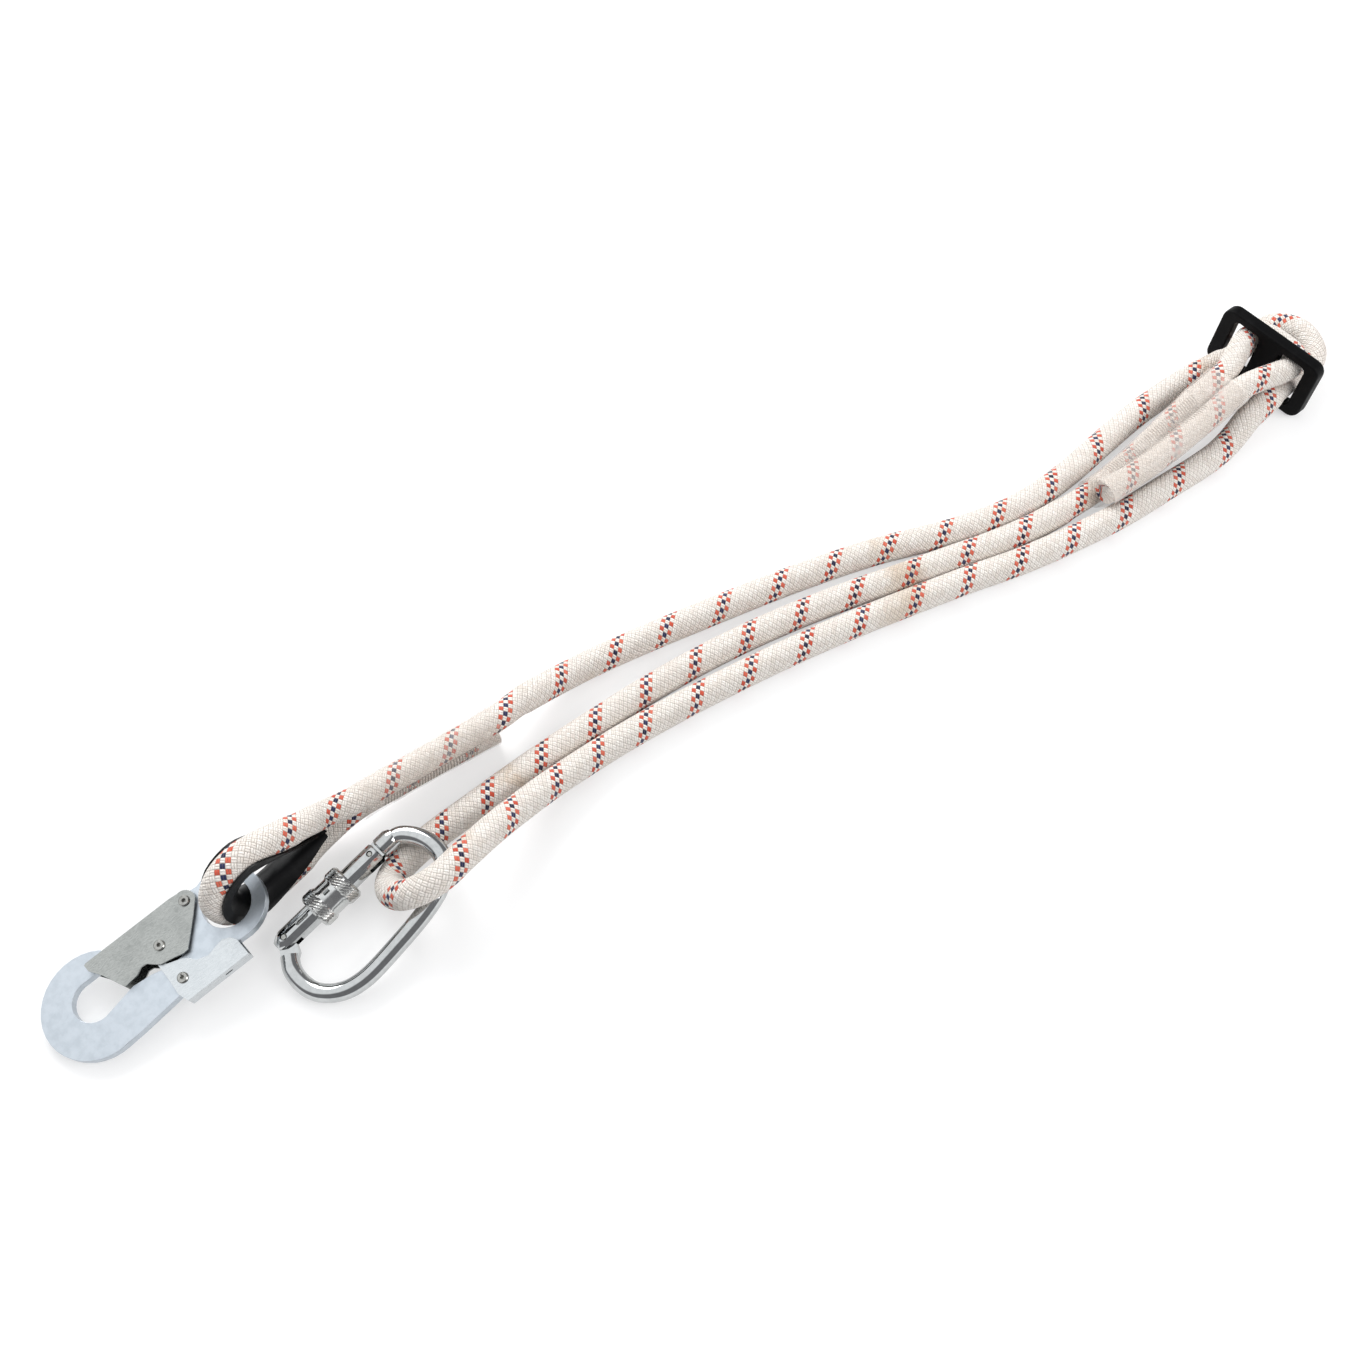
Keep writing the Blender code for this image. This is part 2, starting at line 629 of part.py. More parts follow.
class Rope:
    """One rope's whole route, cut into stretches that meet face to face in order."""

    def __init__(self, points, material):
        self.route = Route(points)
        self.material = material
        self.squeezed = []
        self.gripped = []
        self.marks = []
        self.places = []

    def draw_in(self, start, end):
        """Mark a run that the stitching draws in, from one length to another."""
        self.squeezed.append((start, end, SEWN_SQUEEZE_SHARE))

    def grip(self, start, end):
        """Mark a run that a window squeezes, with a point at each of its ends."""
        self.squeezed.append((start, end, WINDOW_SQUEEZE_SHARE))
        self.gripped += [start, end]

    def thickness(self, length):
        """Return the rope's share of its full diameter at a running length."""
        return min([share for start, end, share in self.squeezed if start <= length <= end],
                   default=1.0)

    def laid(self, length):
        """Return the place of the laid tube's middle at a running length."""
        upper = min(bisect.bisect_right(self.marks, length), len(self.marks) - 1)
        span = self.marks[upper] - self.marks[upper - 1]
        share = (length - self.marks[upper - 1]) / span
        return self.places[upper - 1].lerp(self.places[upper], share)

    def stretch(self, name, start, end, sag):
        """Make one stretch, straight for one diameter where it meets another.

        A mark that a window's grip needs is kept, however near an end it lies.
        """
        marks = self.route.places(start, end, sag, LONGEST_STEP)
        clear = ROPE_D * MEETING_SHARE
        kept = [mark for mark in self.gripped if start < mark < end]
        marks = kept + [mark for mark in marks
                        if all(abs(mark - other) > ROPE_D / 4 for other in kept)]
        marks = [mark for mark in sorted(marks)
                 if start + clear < mark < end - clear or mark in kept]
        places = [self.route.at(mark) for mark in marks]
        leave = self.route.direction(start)
        arrive = self.route.direction(end)
        head = self.route.at(start)
        foot = self.route.at(end)
        places = ([head + leave * GAP / 2, head + leave * ROPE_D] + places
                  + [foot - arrive * ROPE_D, foot - arrive * GAP / 2])
        marks = [start, start + ROPE_D] + marks + [end - ROPE_D, end]
        self.marks += marks
        self.places += places
        curve = bpy.data.curves.new(name, "CURVE")
        curve.dimensions = "3D"
        curve.bevel_depth = ROPE_R
        curve.bevel_resolution = ROPE_RESOLUTION
        curve.use_fill_caps = True
        spline = curve.splines.new("POLY")
        spline.points.add(len(places) - 1)
        for point, place, mark in zip(spline.points, places, marks):
            point.co = (*place, 1.0)
            point.radius = self.thickness(mark)
        curve.materials.append(self.material)
        obj = bpy.data.objects.new(name, curve)
        bpy.context.scene.collection.objects.link(obj)
        attach(obj, Matrix.Identity(4), None)


def slider_wrap():
    """Return the sewn eye's way round the middle bar, in the slider's frame."""
    corner = FRAME_EDGE_R + SEWN_R + ROPE_GAP * 2
    x = FRAME_T / 2 - FRAME_EDGE_R
    y = FRAME_BAR_W / 2 - FRAME_EDGE_R
    bend = arc(x, y, corner, 90, 0, 3)
    leg = [(-FRAME_T / 2, y + corner)] + bend
    return [(a, b, WRAP_U) for a, b in leg] + [(a, -b, WRAP_U) for a, b in leg[::-1]]


def eye_places(thimble):
    """Return the rope's way round the thimble, its lower leg leaving the groove sideways."""
    line = thimble.bend(EYE_BEND_R + BEND_SAG / 2)
    leave = LOWER_LEAVE_SHARES + [(0.0, 0.0)] * (len(line) - len(LOWER_LEAVE_SHARES))
    return [thimble.place(x, y - ROPE_R * out, ROPE_R * aside)
            for (x, y), (aside, out) in zip(line, leave)]


def build_ropes(thimble, slider, material):
    """Lay the rope and return it with its two sewn runs."""
    runs = {
        "hook_tail": [on_floor(point) for point in HOOK_TAIL],
        "hook_eye": eye_places(thimble),
        "hook_main": [on_floor(point) for point in HOOK_MAIN],
        "upper": [on_floor(point) for point in UPPER_STRAND],
        "pass": [slider @ Vector(place) for place in SLIDER_PASS],
        "lower": [on_floor(point) for point in LOWER_STRAND],
        "bight": [on_floor(point) for point in BINER_BIGHT],
        "middle": [on_floor(point) for point in MIDDLE_STRAND],
        "slider_main": [on_floor(point) for point in SLIDER_MAIN],
        "wrap": [slider @ Vector(place) for place in slider_wrap()],
        "slider_tail": [on_floor(point) for point in SLIDER_TAIL[::-1]],
    }
    points = []
    first = {}
    last = {}
    for name, run in runs.items():
        first[name] = len(points)
        points += run
        last[name] = len(points) - 1
    rope = Rope(points, material)
    length = rope.route.length_at
    for run, inset in (("pass", 1), ("wrap", 0)):
        for index in (first[run] + inset, last[run] - inset - 1):
            rope.grip(length(index), length(index + 1))
    first = {name: length(index) for name, index in first.items()}
    last = {name: length(index) for name, index in last.items()}
    ease = ROPE_D * 2
    rope.draw_in(first["hook_tail"], last["hook_tail"] + ease)
    rope.draw_in(first["hook_main"] - ease, last["hook_main"] + ROPE_D)
    rope.draw_in(first["slider_main"] - ROPE_D, last["slider_tail"])
    rope.stretch("rope_hook_eye", 0.0, first["upper"], BEND_SAG)
    rope.stretch("rope_upper_strand", first["upper"], first["pass"], STRAND_SAG)
    rope.stretch("rope_slider_bight", first["pass"], last["pass"], BEND_SAG)
    rope.stretch("rope_lower_strand", last["pass"], first["bight"], STRAND_SAG)
    rope.stretch("rope_carabiner_bight", first["bight"], last["bight"], BEND_SAG)
    rope.stretch("rope_middle_strand", last["bight"], last["middle"], STRAND_SAG)
    rope.stretch("rope_slider_eye", last["middle"], last["slider_tail"], BEND_SAG)
    crotch = ROPE_D / 2
    hook_pair = (first["hook_main"] + crotch / 2, last["hook_main"],
                 last["hook_tail"] - crotch / 2, first["hook_tail"])
    slider_pair = (first["slider_main"], last["slider_main"] - crotch,
                   last["slider_tail"], first["slider_tail"] + crotch)
    return rope, hook_pair, slider_pair


def capsule(first, second, side, up, radius):
    """Return the hull of two circles in the plane of side and up."""
    across = second - first
    tilt = math.atan2(across.dot(up), across.dot(side))
    points = []
    for index in range(SHRINK_SIDES):
        angle = tilt + math.pi / 2 + math.pi * index / (SHRINK_SIDES - 1)
        points.append(first + (side * math.cos(angle) + up * math.sin(angle)) * radius)
    for index in range(SHRINK_SIDES):
        angle = tilt - math.pi / 2 + math.pi * index / (SHRINK_SIDES - 1)
        points.append(second + (side * math.cos(angle) + up * math.sin(angle)) * radius)
    return points


def build_shrink(name, rope, pair, material, flare_start, flare_end):
    """Make the clear sleeve that hugs two sewn runs, with its ends open."""
    main_start, main_end, tail_start, tail_end = pair
    bm = bmesh.new()
    inner_rings = []
    outer_rings = []
    for index in range(SHRINK_STATIONS):
        share = index / (SHRINK_STATIONS - 1)
        length = main_start + (main_end - main_start) * share
        first = rope.laid(length)
        second = rope.laid(tail_start + (tail_end - tail_start) * share)
        tangent = rope.route.direction(length)
        second = second - tangent * (second - first).dot(tangent)
        up = (second - first).normalized()
        side = tangent.cross(up)
        flare = SHRINK_FLARE * (flare_start * (1 - share) ** 8 + flare_end * share ** 8)
        radius = SEWN_R + SHRINK_GAP + flare
        inner = capsule(first, second, side, up, radius)
        outer = capsule(first, second, side, up, radius + SHRINK_WALL)
        inner_rings.append([bm.verts.new(point) for point in inner])
        outer_rings.append([bm.verts.new(point) for point in outer])
    for rings in (inner_rings, outer_rings):
        for first_ring, second_ring in zip(rings, rings[1:]):
            join_rings(bm, first_ring, second_ring)
    join_rings(bm, inner_rings[0], outer_rings[0])
    join_rings(bm, inner_rings[-1], outer_rings[-1])
    add_mesh(name, bm, material, Matrix.Identity(4))


def hook_outline():
    """Return the hook plate's outline, from the nose round the bowl and the eye."""
    nose_angle = math.degrees(math.acos(NOSE_X / BOWL_R))
    outline = arc(0, 0, BOWL_R, nose_angle, 276, 22)
    spine = [Vector((x, y, 0)) for x, y in
             [(outline[-1][0], outline[-1][1])] + shares_to_points(SPINE_SHARES, EYE_X, BOWL_R)]
    outline += [tuple(point.xy) for point in spine[1:]]
    outline += arc(EYE_X, -EYE_DROP, EYE_R, -88, 112, 18)
    outline += arc(GATE_PIVOT_X, GATE_PIVOT_Y, GATE_BOSS_R * SHANK_BOSS_SHARE, 62, 190, 8)
    inner = shares_to_points(SHANK_INNER_SHARES, EYE_X, BOWL_R)
    outline += inner
    outline += arc(BOWL_MOUTH_X, BOWL_MOUTH_Y, BOWL_MOUTH_R, 275, 80, 14)
    outline.append((NOSE_X, BOWL_MOUTH_Y + BOWL_MOUTH_R))
    return outline


def build_hook(axis, frame, material):
    """Make the forged plate with its eye and rivet holes."""
    half = HOOK_T / 2
    hook = add_mesh("hook_body", prism(hook_outline(), -half, half), material, frame, axis)
    reach = half + CUT_OVERRUN
    holes = [("eye_cutter", EYE_X, 0.0, EYE_HOLE_R, 32),
             ("gate_pivot_cutter", GATE_PIVOT_X, GATE_PIVOT_Y, RIVET_R + GAP, 16),
             ("lever_pivot_cutter", LEVER_PIVOT_X, LEVER_PIVOT_Y, RIVET_R + GAP, 16)]
    for name, x, y, radius, sides in holes:
        cutter = add_mesh(name, cylinder(radius, -reach, reach, sides), material,
                          frame @ Matrix.Translation((x, y, 0)))
        combine(hook, cutter, "DIFFERENCE")
    bevel(hook, HOOK_EDGE_R)


def build_hook_gate(axis, frame, material):
    """Make the gate's folded channel, its web short of the nose and the pivot."""
    outline = arc(GATE_PIVOT_X, GATE_PIVOT_Y, GATE_BOSS_R, 100, -20, 9)
    outline += shares_to_points(GATE_FLANK_SHARES, GATE_LENGTH, GATE_FOLD_Y)
    outline.append((GATE_PIVOT_X - GATE_BOSS_R, GATE_FOLD_Y))
    channel = add_mesh("hook_gate", prism(outline, -GATE_OUTER, GATE_OUTER), material, frame, axis)
    inside = GATE_FOLD_Y - GATE_SHEET
    far = GATE_PIVOT_X + GATE_BOSS_R * 3
    top = GATE_FOLD_Y + CUT_OVERRUN
    hollow = [(-BOWL_R, -BOWL_R), (far, -BOWL_R), (far, top), (WEB_END_X, top),
              (WEB_END_X, inside), (WEB_START_X, inside), (WEB_START_X, top), (-BOWL_R, top)]
    cutter = add_mesh("gate_hollow_cutter", prism(hollow, -GATE_INNER, GATE_INNER), material, frame)
    combine(channel, cutter, "DIFFERENCE")
    return channel


def bore_through(obj, name, frame, x, y, radius, reach, material):
    """Cut one round hole along the frame's Z."""
    cutter = add_mesh(name, cylinder(radius, -reach, reach, 16), material,
                      frame @ Matrix.Translation((x, y, 0)))
    combine(obj, cutter, "DIFFERENCE")


def build_lever(axis, frame, material):
    """Make the lock lever's channel with its finger under the gate's flanks."""
    depth = LEVER_PIVOT_Y - LEVER_BACK_Y
    outline = shares_to_points(LEVER_FLANK_SHARES, LEVER_LENGTH, depth, LEVER_PIVOT_X,
                               LEVER_PIVOT_Y)
    lever = add_mesh("lock_lever", prism(outline, -LEVER_OUTER, LEVER_OUTER), material, frame, axis)
    floor = LEVER_BACK_Y + LEVER_SHEET
    low = (LEVER_PIVOT_X - LEVER_LENGTH, floor, -LEVER_INNER)
    high = (LEVER_PIVOT_X + LEVER_LENGTH * 2, BOWL_R, LEVER_INNER)
    cutter = add_mesh("lever_hollow_cutter", box(low, high), material, frame)
    combine(lever, cutter, "DIFFERENCE")
    slot_x = LEVER_PIVOT_X + LEVER_LENGTH / 2
    slot_low = (slot_x - LEVER_SLOT_L / 2, LEVER_BACK_Y - CUT_OVERRUN, -LEVER_SLOT_W / 2)
    slot_high = (slot_x + LEVER_SLOT_L / 2, floor + CUT_OVERRUN, LEVER_SLOT_W / 2)
    slot = add_mesh("lever_slot_cutter", box(slot_low, slot_high), material, frame)
    combine(lever, slot, "DIFFERENCE")
    bore_through(lever, "lever_bore_cutter", frame, LEVER_PIVOT_X, LEVER_PIVOT_Y,
                 RIVET_R + GAP, LEVER_OUTER + CUT_OVERRUN, material)


def rivet(name, frame, x, y, shank_r, seat, material, parent):
    """Make a tubular rivet with a dished head at each end."""
    head = seat + GAP + RIVET_HEAD_T
    floor = head - RIVET_BORE_DEPTH
    rim = RIVET_HEAD_R * RIVET_RIM_SHARE
    profile = [(0, -floor), (RIVET_BORE_R, -floor), (RIVET_BORE_R, -head), (rim, -head),
               (RIVET_HEAD_R, -seat - GAP - RIVET_HEAD_T / 3), (RIVET_HEAD_R, -seat - GAP),
               (shank_r, -seat - GAP), (shank_r, seat + GAP), (RIVET_HEAD_R, seat + GAP),
               (RIVET_HEAD_R, seat + GAP + RIVET_HEAD_T / 3), (rim, head), (RIVET_BORE_R, head),
               (RIVET_BORE_R, floor), (0, floor)]
    add_mesh(name, turned(profile, 20), material, frame @ Matrix.Translation((x, y, 0)), parent)


def build_hook_set(thimble, steel, zinc, rivet_metal):
    """Make the snap hook, its gate and its lock lever on their axes."""
    frame = hook_frame(thimble)
    swing = add_axis("hook_axis", Matrix.Translation(thimble.centre) @ frame.to_3x3().to_4x4())
    gate_axis = add_axis("hook_gate_axis",
                         frame @ Matrix.Translation((GATE_PIVOT_X, GATE_PIVOT_Y, 0)), swing)
    lever_axis = add_axis("lock_lever_axis",
                          frame @ Matrix.Translation((LEVER_PIVOT_X, LEVER_PIVOT_Y, 0)), swing)
    build_hook(swing, frame, steel)
    gate = build_hook_gate(gate_axis, frame, zinc)
    reach = GATE_OUTER + CUT_OVERRUN
    bore_through(gate, "gate_bore_cutter", frame, GATE_PIVOT_X, GATE_PIVOT_Y, RIVET_R + GAP,
                 reach, zinc)
    bore_through(gate, "lock_bore_cutter", frame, LOCK_PIN_X, LOCK_PIN_Y, LOCK_PIN_R + GAP,
                 reach, zinc)
    build_lever(lever_axis, frame, zinc)
    rivet("gate_rivet", frame, GATE_PIVOT_X, GATE_PIVOT_Y, RIVET_R, GATE_OUTER, rivet_metal, swing)
    rivet("lock_pin", frame, LOCK_PIN_X, LOCK_PIN_Y, LOCK_PIN_R, GATE_OUTER, rivet_metal, gate_axis)
    rivet("lever_rivet", frame, LEVER_PIVOT_X, LEVER_PIVOT_Y, RIVET_R, LEVER_OUTER, rivet_metal,
          swing)


def carabiner_frame(bearing):
    """Return the carabiner's frame, one end in the rope's bight and the other on the floor."""
    seat = Vector(BINER_SEAT)
    pitch = math.asin((seat.z - BINER_REST_Z) / bearing.x)
    turn = pose(Vector((0, 0, 0)), BINER_HEADING, pitch, BINER_ROLL)
    return Matrix.Translation(on_floor(seat) - turn @ bearing) @ turn


def tongue_outline():
    """Return the flat tongue that carries the carabiner's hinge pin."""
    first, second = shares_to_points(ROD_SHARES[:2], BINER_LENGTH, BINER_HALF_W)
    edges = [(x + along * BINER_ROD_R, y + across * BINER_ROD_R) for (x, y), (along, across)
             in zip((second, first, first, second), TONGUE_SHARES)]
    return edges[:2] + arc(HINGE_PIN_X, GATE_AXIS_Y, BINER_TONGUE_R, -30, 150, 10) + edges[2:]


def rod_places(path):
    """Return close points along the carabiner's rod."""
    route = Route(path)
    return [route.at(mark) for mark in route.places(0.0, route.lengths[-1], BEND_SAG / 4,
                                                    BINER_ROD_R * 3)]


def build_carabiner_body(axis, frame, material):
    """Make the bent rod with its hinge tongue and its latch nose."""
    path = [Vector((x, y, 0)) for x, y in
            shares_to_points(ROD_SHARES, BINER_LENGTH, BINER_HALF_W)]
    body = add_mesh("carabiner_body",
                    swept_rod(rod_places(path), BINER_ROD_R, 16),
                    material, frame, axis)
    half = BINER_TONGUE_T / 2
    tongue = add_mesh("tongue_form", prism(tongue_outline(), -half, half), material, frame)
    combine(body, tongue, "UNION")
    block_frame = frame @ Matrix.Translation((0, GATE_AXIS_Y, 0)) @ Matrix.Rotation(
        math.pi / 2, 4, "Y")
    chamfer = BINER_NOSE_R * NOSE_CHAMFER_SHARE
    profile = [(0, NOSE_BLOCK_START_X), (BINER_NOSE_R - chamfer, NOSE_BLOCK_START_X),
               (BINER_NOSE_R, NOSE_BLOCK_START_X + chamfer),
               (BINER_NOSE_R, NOSE_BLOCK_END_X - chamfer * 2),
               (BINER_ROD_R, NOSE_BLOCK_END_X + chamfer), (0, NOSE_BLOCK_END_X + chamfer)]
    block = add_mesh("nose_form", turned(profile, 20), material, block_frame)
    combine(body, block, "UNION")
    root = NOSE_BLOCK_START_X + chamfer * 2
    blade = [(NOSE_LIP_X, GATE_AXIS_Y + BINER_NOSE_R * LIP_SHARES[0]),
             (root, GATE_AXIS_Y + BINER_NOSE_R * LIP_SHARES[1]),
             (root, GATE_AXIS_Y + BINER_NOSE_R * LIP_SHARES[2]),
             (NOSE_LIP_X, GATE_AXIS_Y + BINER_NOSE_R * LIP_SHARES[3])]
    lip = add_mesh("lip_form", prism(blade, -half, half), material, frame)
    combine(body, lip, "UNION")
    slot_half = LATCH_SLOT_W / 2
    slot = arc(LATCH_PIN_X, GATE_AXIS_Y, slot_half, 0, 180, 8)
    slot += [(LATCH_PIN_X - slot_half, GATE_AXIS_Y - BINER_GATE_R * 2),
             (LATCH_PIN_X + slot_half, GATE_AXIS_Y - BINER_GATE_R * 2)]
    notch = add_mesh("latch_slot_cutter", prism(slot, -half - CUT_OVERRUN, half + CUT_OVERRUN),
                     material, frame)
    combine(body, notch, "DIFFERENCE")
    bore_through(body, "hinge_bore_cutter", frame, HINGE_PIN_X, GATE_AXIS_Y, HINGE_PIN_R + GAP,
                 half + CUT_OVERRUN, material)


def build_carabiner_gate(axis, frame, material):
    """Make the gate's round bar with a fork at each end and its spring window."""
    along = frame @ Matrix.Translation((0, GATE_AXIS_Y, 0)) @ Matrix.Rotation(math.pi / 2, 4, "Y")
    chamfer = BINER_GATE_R * GATE_CHAMFER_SHARE
    profile = [(0, HINGE_PIN_X - BINER_GATE_R)]
    profile += [(BINER_GATE_R * out, HINGE_PIN_X + BINER_GATE_R * back)
                for out, back in GATE_TAIL_SHARES]
    profile += [(BINER_GATE_R, BINER_GATE_END_X - chamfer),
                (BINER_GATE_R - chamfer, BINER_GATE_END_X), (0, BINER_GATE_END_X)]
    gate = add_mesh("carabiner_gate", turned(profile, 20), material, along, axis)
    half = BINER_TONGUE_T / 2 + FORK_GAP
    wide = BINER_GATE_R + CUT_OVERRUN
    forks = [("hinge_fork_cutter", -BINER_GATE_R, HINGE_PIN_X + FORK_DEPTH),
             ("nose_fork_cutter", BINER_GATE_END_X - NOSE_FORK_DEPTH,
              BINER_GATE_END_X + CUT_OVERRUN)]
    for name, start, end in forks:
        cutter = add_mesh(name, box((start, GATE_AXIS_Y - wide, -half),
                                    (end, GATE_AXIS_Y + wide, half)), material, frame)
        combine(gate, cutter, "DIFFERENCE")
    corner = SPRING_WINDOW_W * WINDOW_ROUND_SHARE
    window = rounded_rectangle(SPRING_WINDOW_L, SPRING_WINDOW_W, corner, 3)
    middle = SPRING_WINDOW_X + SPRING_WINDOW_L / 2
    window = [(x + middle, y + GATE_AXIS_Y) for x, y in window]
    cutter = add_mesh("spring_window_cutter",
                      prism(window, BINER_GATE_R - SPRING_WINDOW_DEPTH, wide), material, frame)
    combine(gate, cutter, "DIFFERENCE")
    for name, x, radius in (("gate_hinge_bore_cutter", HINGE_PIN_X, HINGE_PIN_R),
                            ("gate_latch_bore_cutter", LATCH_PIN_X, LATCH_PIN_R)):
        bore_through(gate, name, frame, x, GATE_AXIS_Y, radius + GAP, wide, material)


def plain_pin(name, frame, x, radius, material, parent):
    """Make a pin with rounded ends just inside the gate's skin."""
    end = BINER_GATE_R - PIN_END_INSET
    chamfer = radius / 4
    profile = [(0, -end), (radius - chamfer, -end), (radius, -end + chamfer),
               (radius, end - chamfer), (radius - chamfer, end), (0, end)]
    add_mesh(name, turned(profile, 16), material,
             frame @ Matrix.Translation((x, GATE_AXIS_Y, 0)), parent)


def build_screw_sleeve(axis, frame, material):
    """Make the sleeve with two raised bands, a waist and two windows."""
    along = frame @ Matrix.Translation((SLEEVE_START_X, GATE_AXIS_Y, 0)) @ Matrix.Rotation(
        math.pi / 2, 4, "Y")
    bore = BINER_GATE_R + GAP
    band = SLEEVE_L * SLEEVE_BAND_SHARE
    step = SLEEVE_R - SLEEVE_WAIST_R
    profile = [(bore, 0), (SLEEVE_R - SLEEVE_CHAMFER, 0), (SLEEVE_R, SLEEVE_CHAMFER),
               (SLEEVE_R, band - step), (SLEEVE_WAIST_R, band),
               (SLEEVE_WAIST_R, SLEEVE_L - band), (SLEEVE_R, SLEEVE_L - band + step),
               (SLEEVE_R, SLEEVE_L - SLEEVE_CHAMFER), (SLEEVE_R - SLEEVE_CHAMFER, SLEEVE_L),
               (bore, SLEEVE_L)]
    sleeve = add_mesh("screw_sleeve", turned(profile, ROUND_SIDES), material, along, axis)
    middle = SLEEVE_START_X + SLEEVE_L / 2
    wide = SLEEVE_R + CUT_OVERRUN
    low = (middle - SLEEVE_WINDOW_L / 2, GATE_AXIS_Y - SLEEVE_WINDOW_W / 2, -wide)
    high = (middle + SLEEVE_WINDOW_L / 2, GATE_AXIS_Y + SLEEVE_WINDOW_W / 2, wide)
    cutter = add_mesh("sleeve_window_cutter", box(low, high), material, frame)
    combine(sleeve, cutter, "DIFFERENCE")


def build_carabiner_set(steel, sleeve_metal, pin_metal):
    """Make the carabiner, its sprung gate and its screw sleeve on their axes."""
    near, far = [Vector((x, y, 0)) for x, y in
                 shares_to_points(SWING_SHARES, BINER_LENGTH, BINER_HALF_W)]
    bearing = (near + far) / 2
    frame = carabiner_frame(bearing)
    chord = Matrix.Rotation(math.atan2(near.x - far.x, far.y - near.y), 4, "Z")
    swing = add_axis("carabiner_axis", frame @ Matrix.Translation(bearing) @ chord)
    gate_axis = add_axis("carabiner_gate_axis",
                         frame @ Matrix.Translation((HINGE_PIN_X, GATE_AXIS_Y, 0)), swing)
    sleeve_axis = add_axis("screw_sleeve_axis",
                           frame @ Matrix.Translation((SLEEVE_START_X, GATE_AXIS_Y, 0)), gate_axis)
    build_carabiner_body(swing, frame, steel)
    build_carabiner_gate(gate_axis, frame, steel)
    plain_pin("gate_hinge_pin", frame, HINGE_PIN_X, HINGE_PIN_R, pin_metal, swing)
    plain_pin("gate_latch_pin", frame, LATCH_PIN_X, LATCH_PIN_R, pin_metal, gate_axis)
    build_screw_sleeve(sleeve_axis, frame, sleeve_metal)


def build_slider(frame, material):
    """Make the two-window frame that grips the rope."""
    stand = frame @ Matrix.Rotation(math.pi / 2, 4, "Y") @ Matrix.Rotation(math.pi / 2, 4, "Z")
    half = FRAME_T / 2
    outline = rounded_rectangle(FRAME_L, FRAME_H, FRAME_CORNER_R, 6)
    slider = add_mesh("slider_frame", prism(outline, -half, half), material, stand)
    window_w = (FRAME_L - FRAME_BAR_W) / 2 - FRAME_ARM_W
    window_h = FRAME_H - FRAME_RAIL_H * 2
    offset = (FRAME_BAR_W + window_w) / 2
    for name, side in (("near_window_cutter", -1), ("far_window_cutter", 1)):
        window = rounded_rectangle(window_w, window_h, WINDOW_CORNER_R, 4)
        window = [(x + offset * side, y) for x, y in window]
        cutter = add_mesh(name, prism(window, -half - CUT_OVERRUN, half + CUT_OVERRUN), material,
                          stand)
        combine(slider, cutter, "DIFFERENCE")
    bevel(slider, FRAME_EDGE_R)


def main():
    """Build the lanyard."""
    clear_scene()
    rope_weave = make_material("rope_weave", (0.76, 0.70, 0.62), 0.85)
    clear = make_material("shrink", (0.85, 0.82, 0.78), 0.25, 0.0, 0.35)
    black = make_material("thimble_plastic", (0.012, 0.012, 0.013), 0.35)
    frame_black = make_material("slider_plastic", (0.010, 0.010, 0.011), 0.40)
    zinc = make_material("hook_steel", (0.52, 0.56, 0.58), 0.38, 0.9)
    gate_zinc = make_material("gate_steel", (0.40, 0.43, 0.43), 0.45, 0.9)
    rivet_metal = make_material("rivet_steel", (0.55, 0.55, 0.53), 0.35, 1.0)
    chrome = make_material("carabiner_chrome", (0.62, 0.62, 0.62), 0.12, 1.0)
    sleeve_metal = make_material("sleeve_steel", (0.50, 0.50, 0.50), 0.35, 1.0)
    pin_metal = make_material("pin_steel", (0.45, 0.45, 0.45), 0.25, 1.0)

    thimble = Thimble()
    slider = slider_frame()
    build_thimble(thimble, black)
    rope, hook_pair, slider_pair = build_ropes(thimble, slider, rope_weave)
    build_shrink("hook_splice_sleeve", rope, hook_pair, clear, 1.0, 0.0)
    build_shrink("slider_splice_sleeve", rope, slider_pair, clear, 1.0, 1.0)
    build_slider(slider, frame_black)
    build_hook_set(thimble, zinc, gate_zinc, rivet_metal)
    build_carabiner_set(chrome, sleeve_metal, pin_metal)


main()
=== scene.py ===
"""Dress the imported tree-climbing lanyard: rope, film, plastics, metals, floor, lamps, camera."""

import bisect
import logging
import math
from dataclasses import dataclass
from enum import Enum
from typing import Optional, Sequence

import bmesh
import bpy
from mathutils import Matrix, Vector, noise


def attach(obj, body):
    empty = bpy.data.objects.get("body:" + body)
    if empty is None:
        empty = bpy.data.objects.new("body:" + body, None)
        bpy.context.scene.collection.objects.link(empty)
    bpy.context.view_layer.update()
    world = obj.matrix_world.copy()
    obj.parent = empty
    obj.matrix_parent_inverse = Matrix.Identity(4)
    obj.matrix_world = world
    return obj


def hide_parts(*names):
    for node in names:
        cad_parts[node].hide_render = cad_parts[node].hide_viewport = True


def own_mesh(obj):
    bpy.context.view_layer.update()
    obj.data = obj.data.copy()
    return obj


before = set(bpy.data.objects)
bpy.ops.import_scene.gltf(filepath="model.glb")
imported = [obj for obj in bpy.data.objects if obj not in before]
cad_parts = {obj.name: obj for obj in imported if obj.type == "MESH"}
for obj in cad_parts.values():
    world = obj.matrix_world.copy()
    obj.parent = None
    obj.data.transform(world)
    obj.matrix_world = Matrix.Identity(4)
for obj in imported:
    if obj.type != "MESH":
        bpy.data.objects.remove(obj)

logger = logging.getLogger("lanyard")

Point = tuple[float, float, float]
Pair = tuple[float, float]
Colour = tuple[float, float, float, float]

LAYOUT_MIDDLE = Vector((0.0269, -0.0123, 0.0))
WHITE: Colour = (1.0, 1.0, 1.0, 1.0)


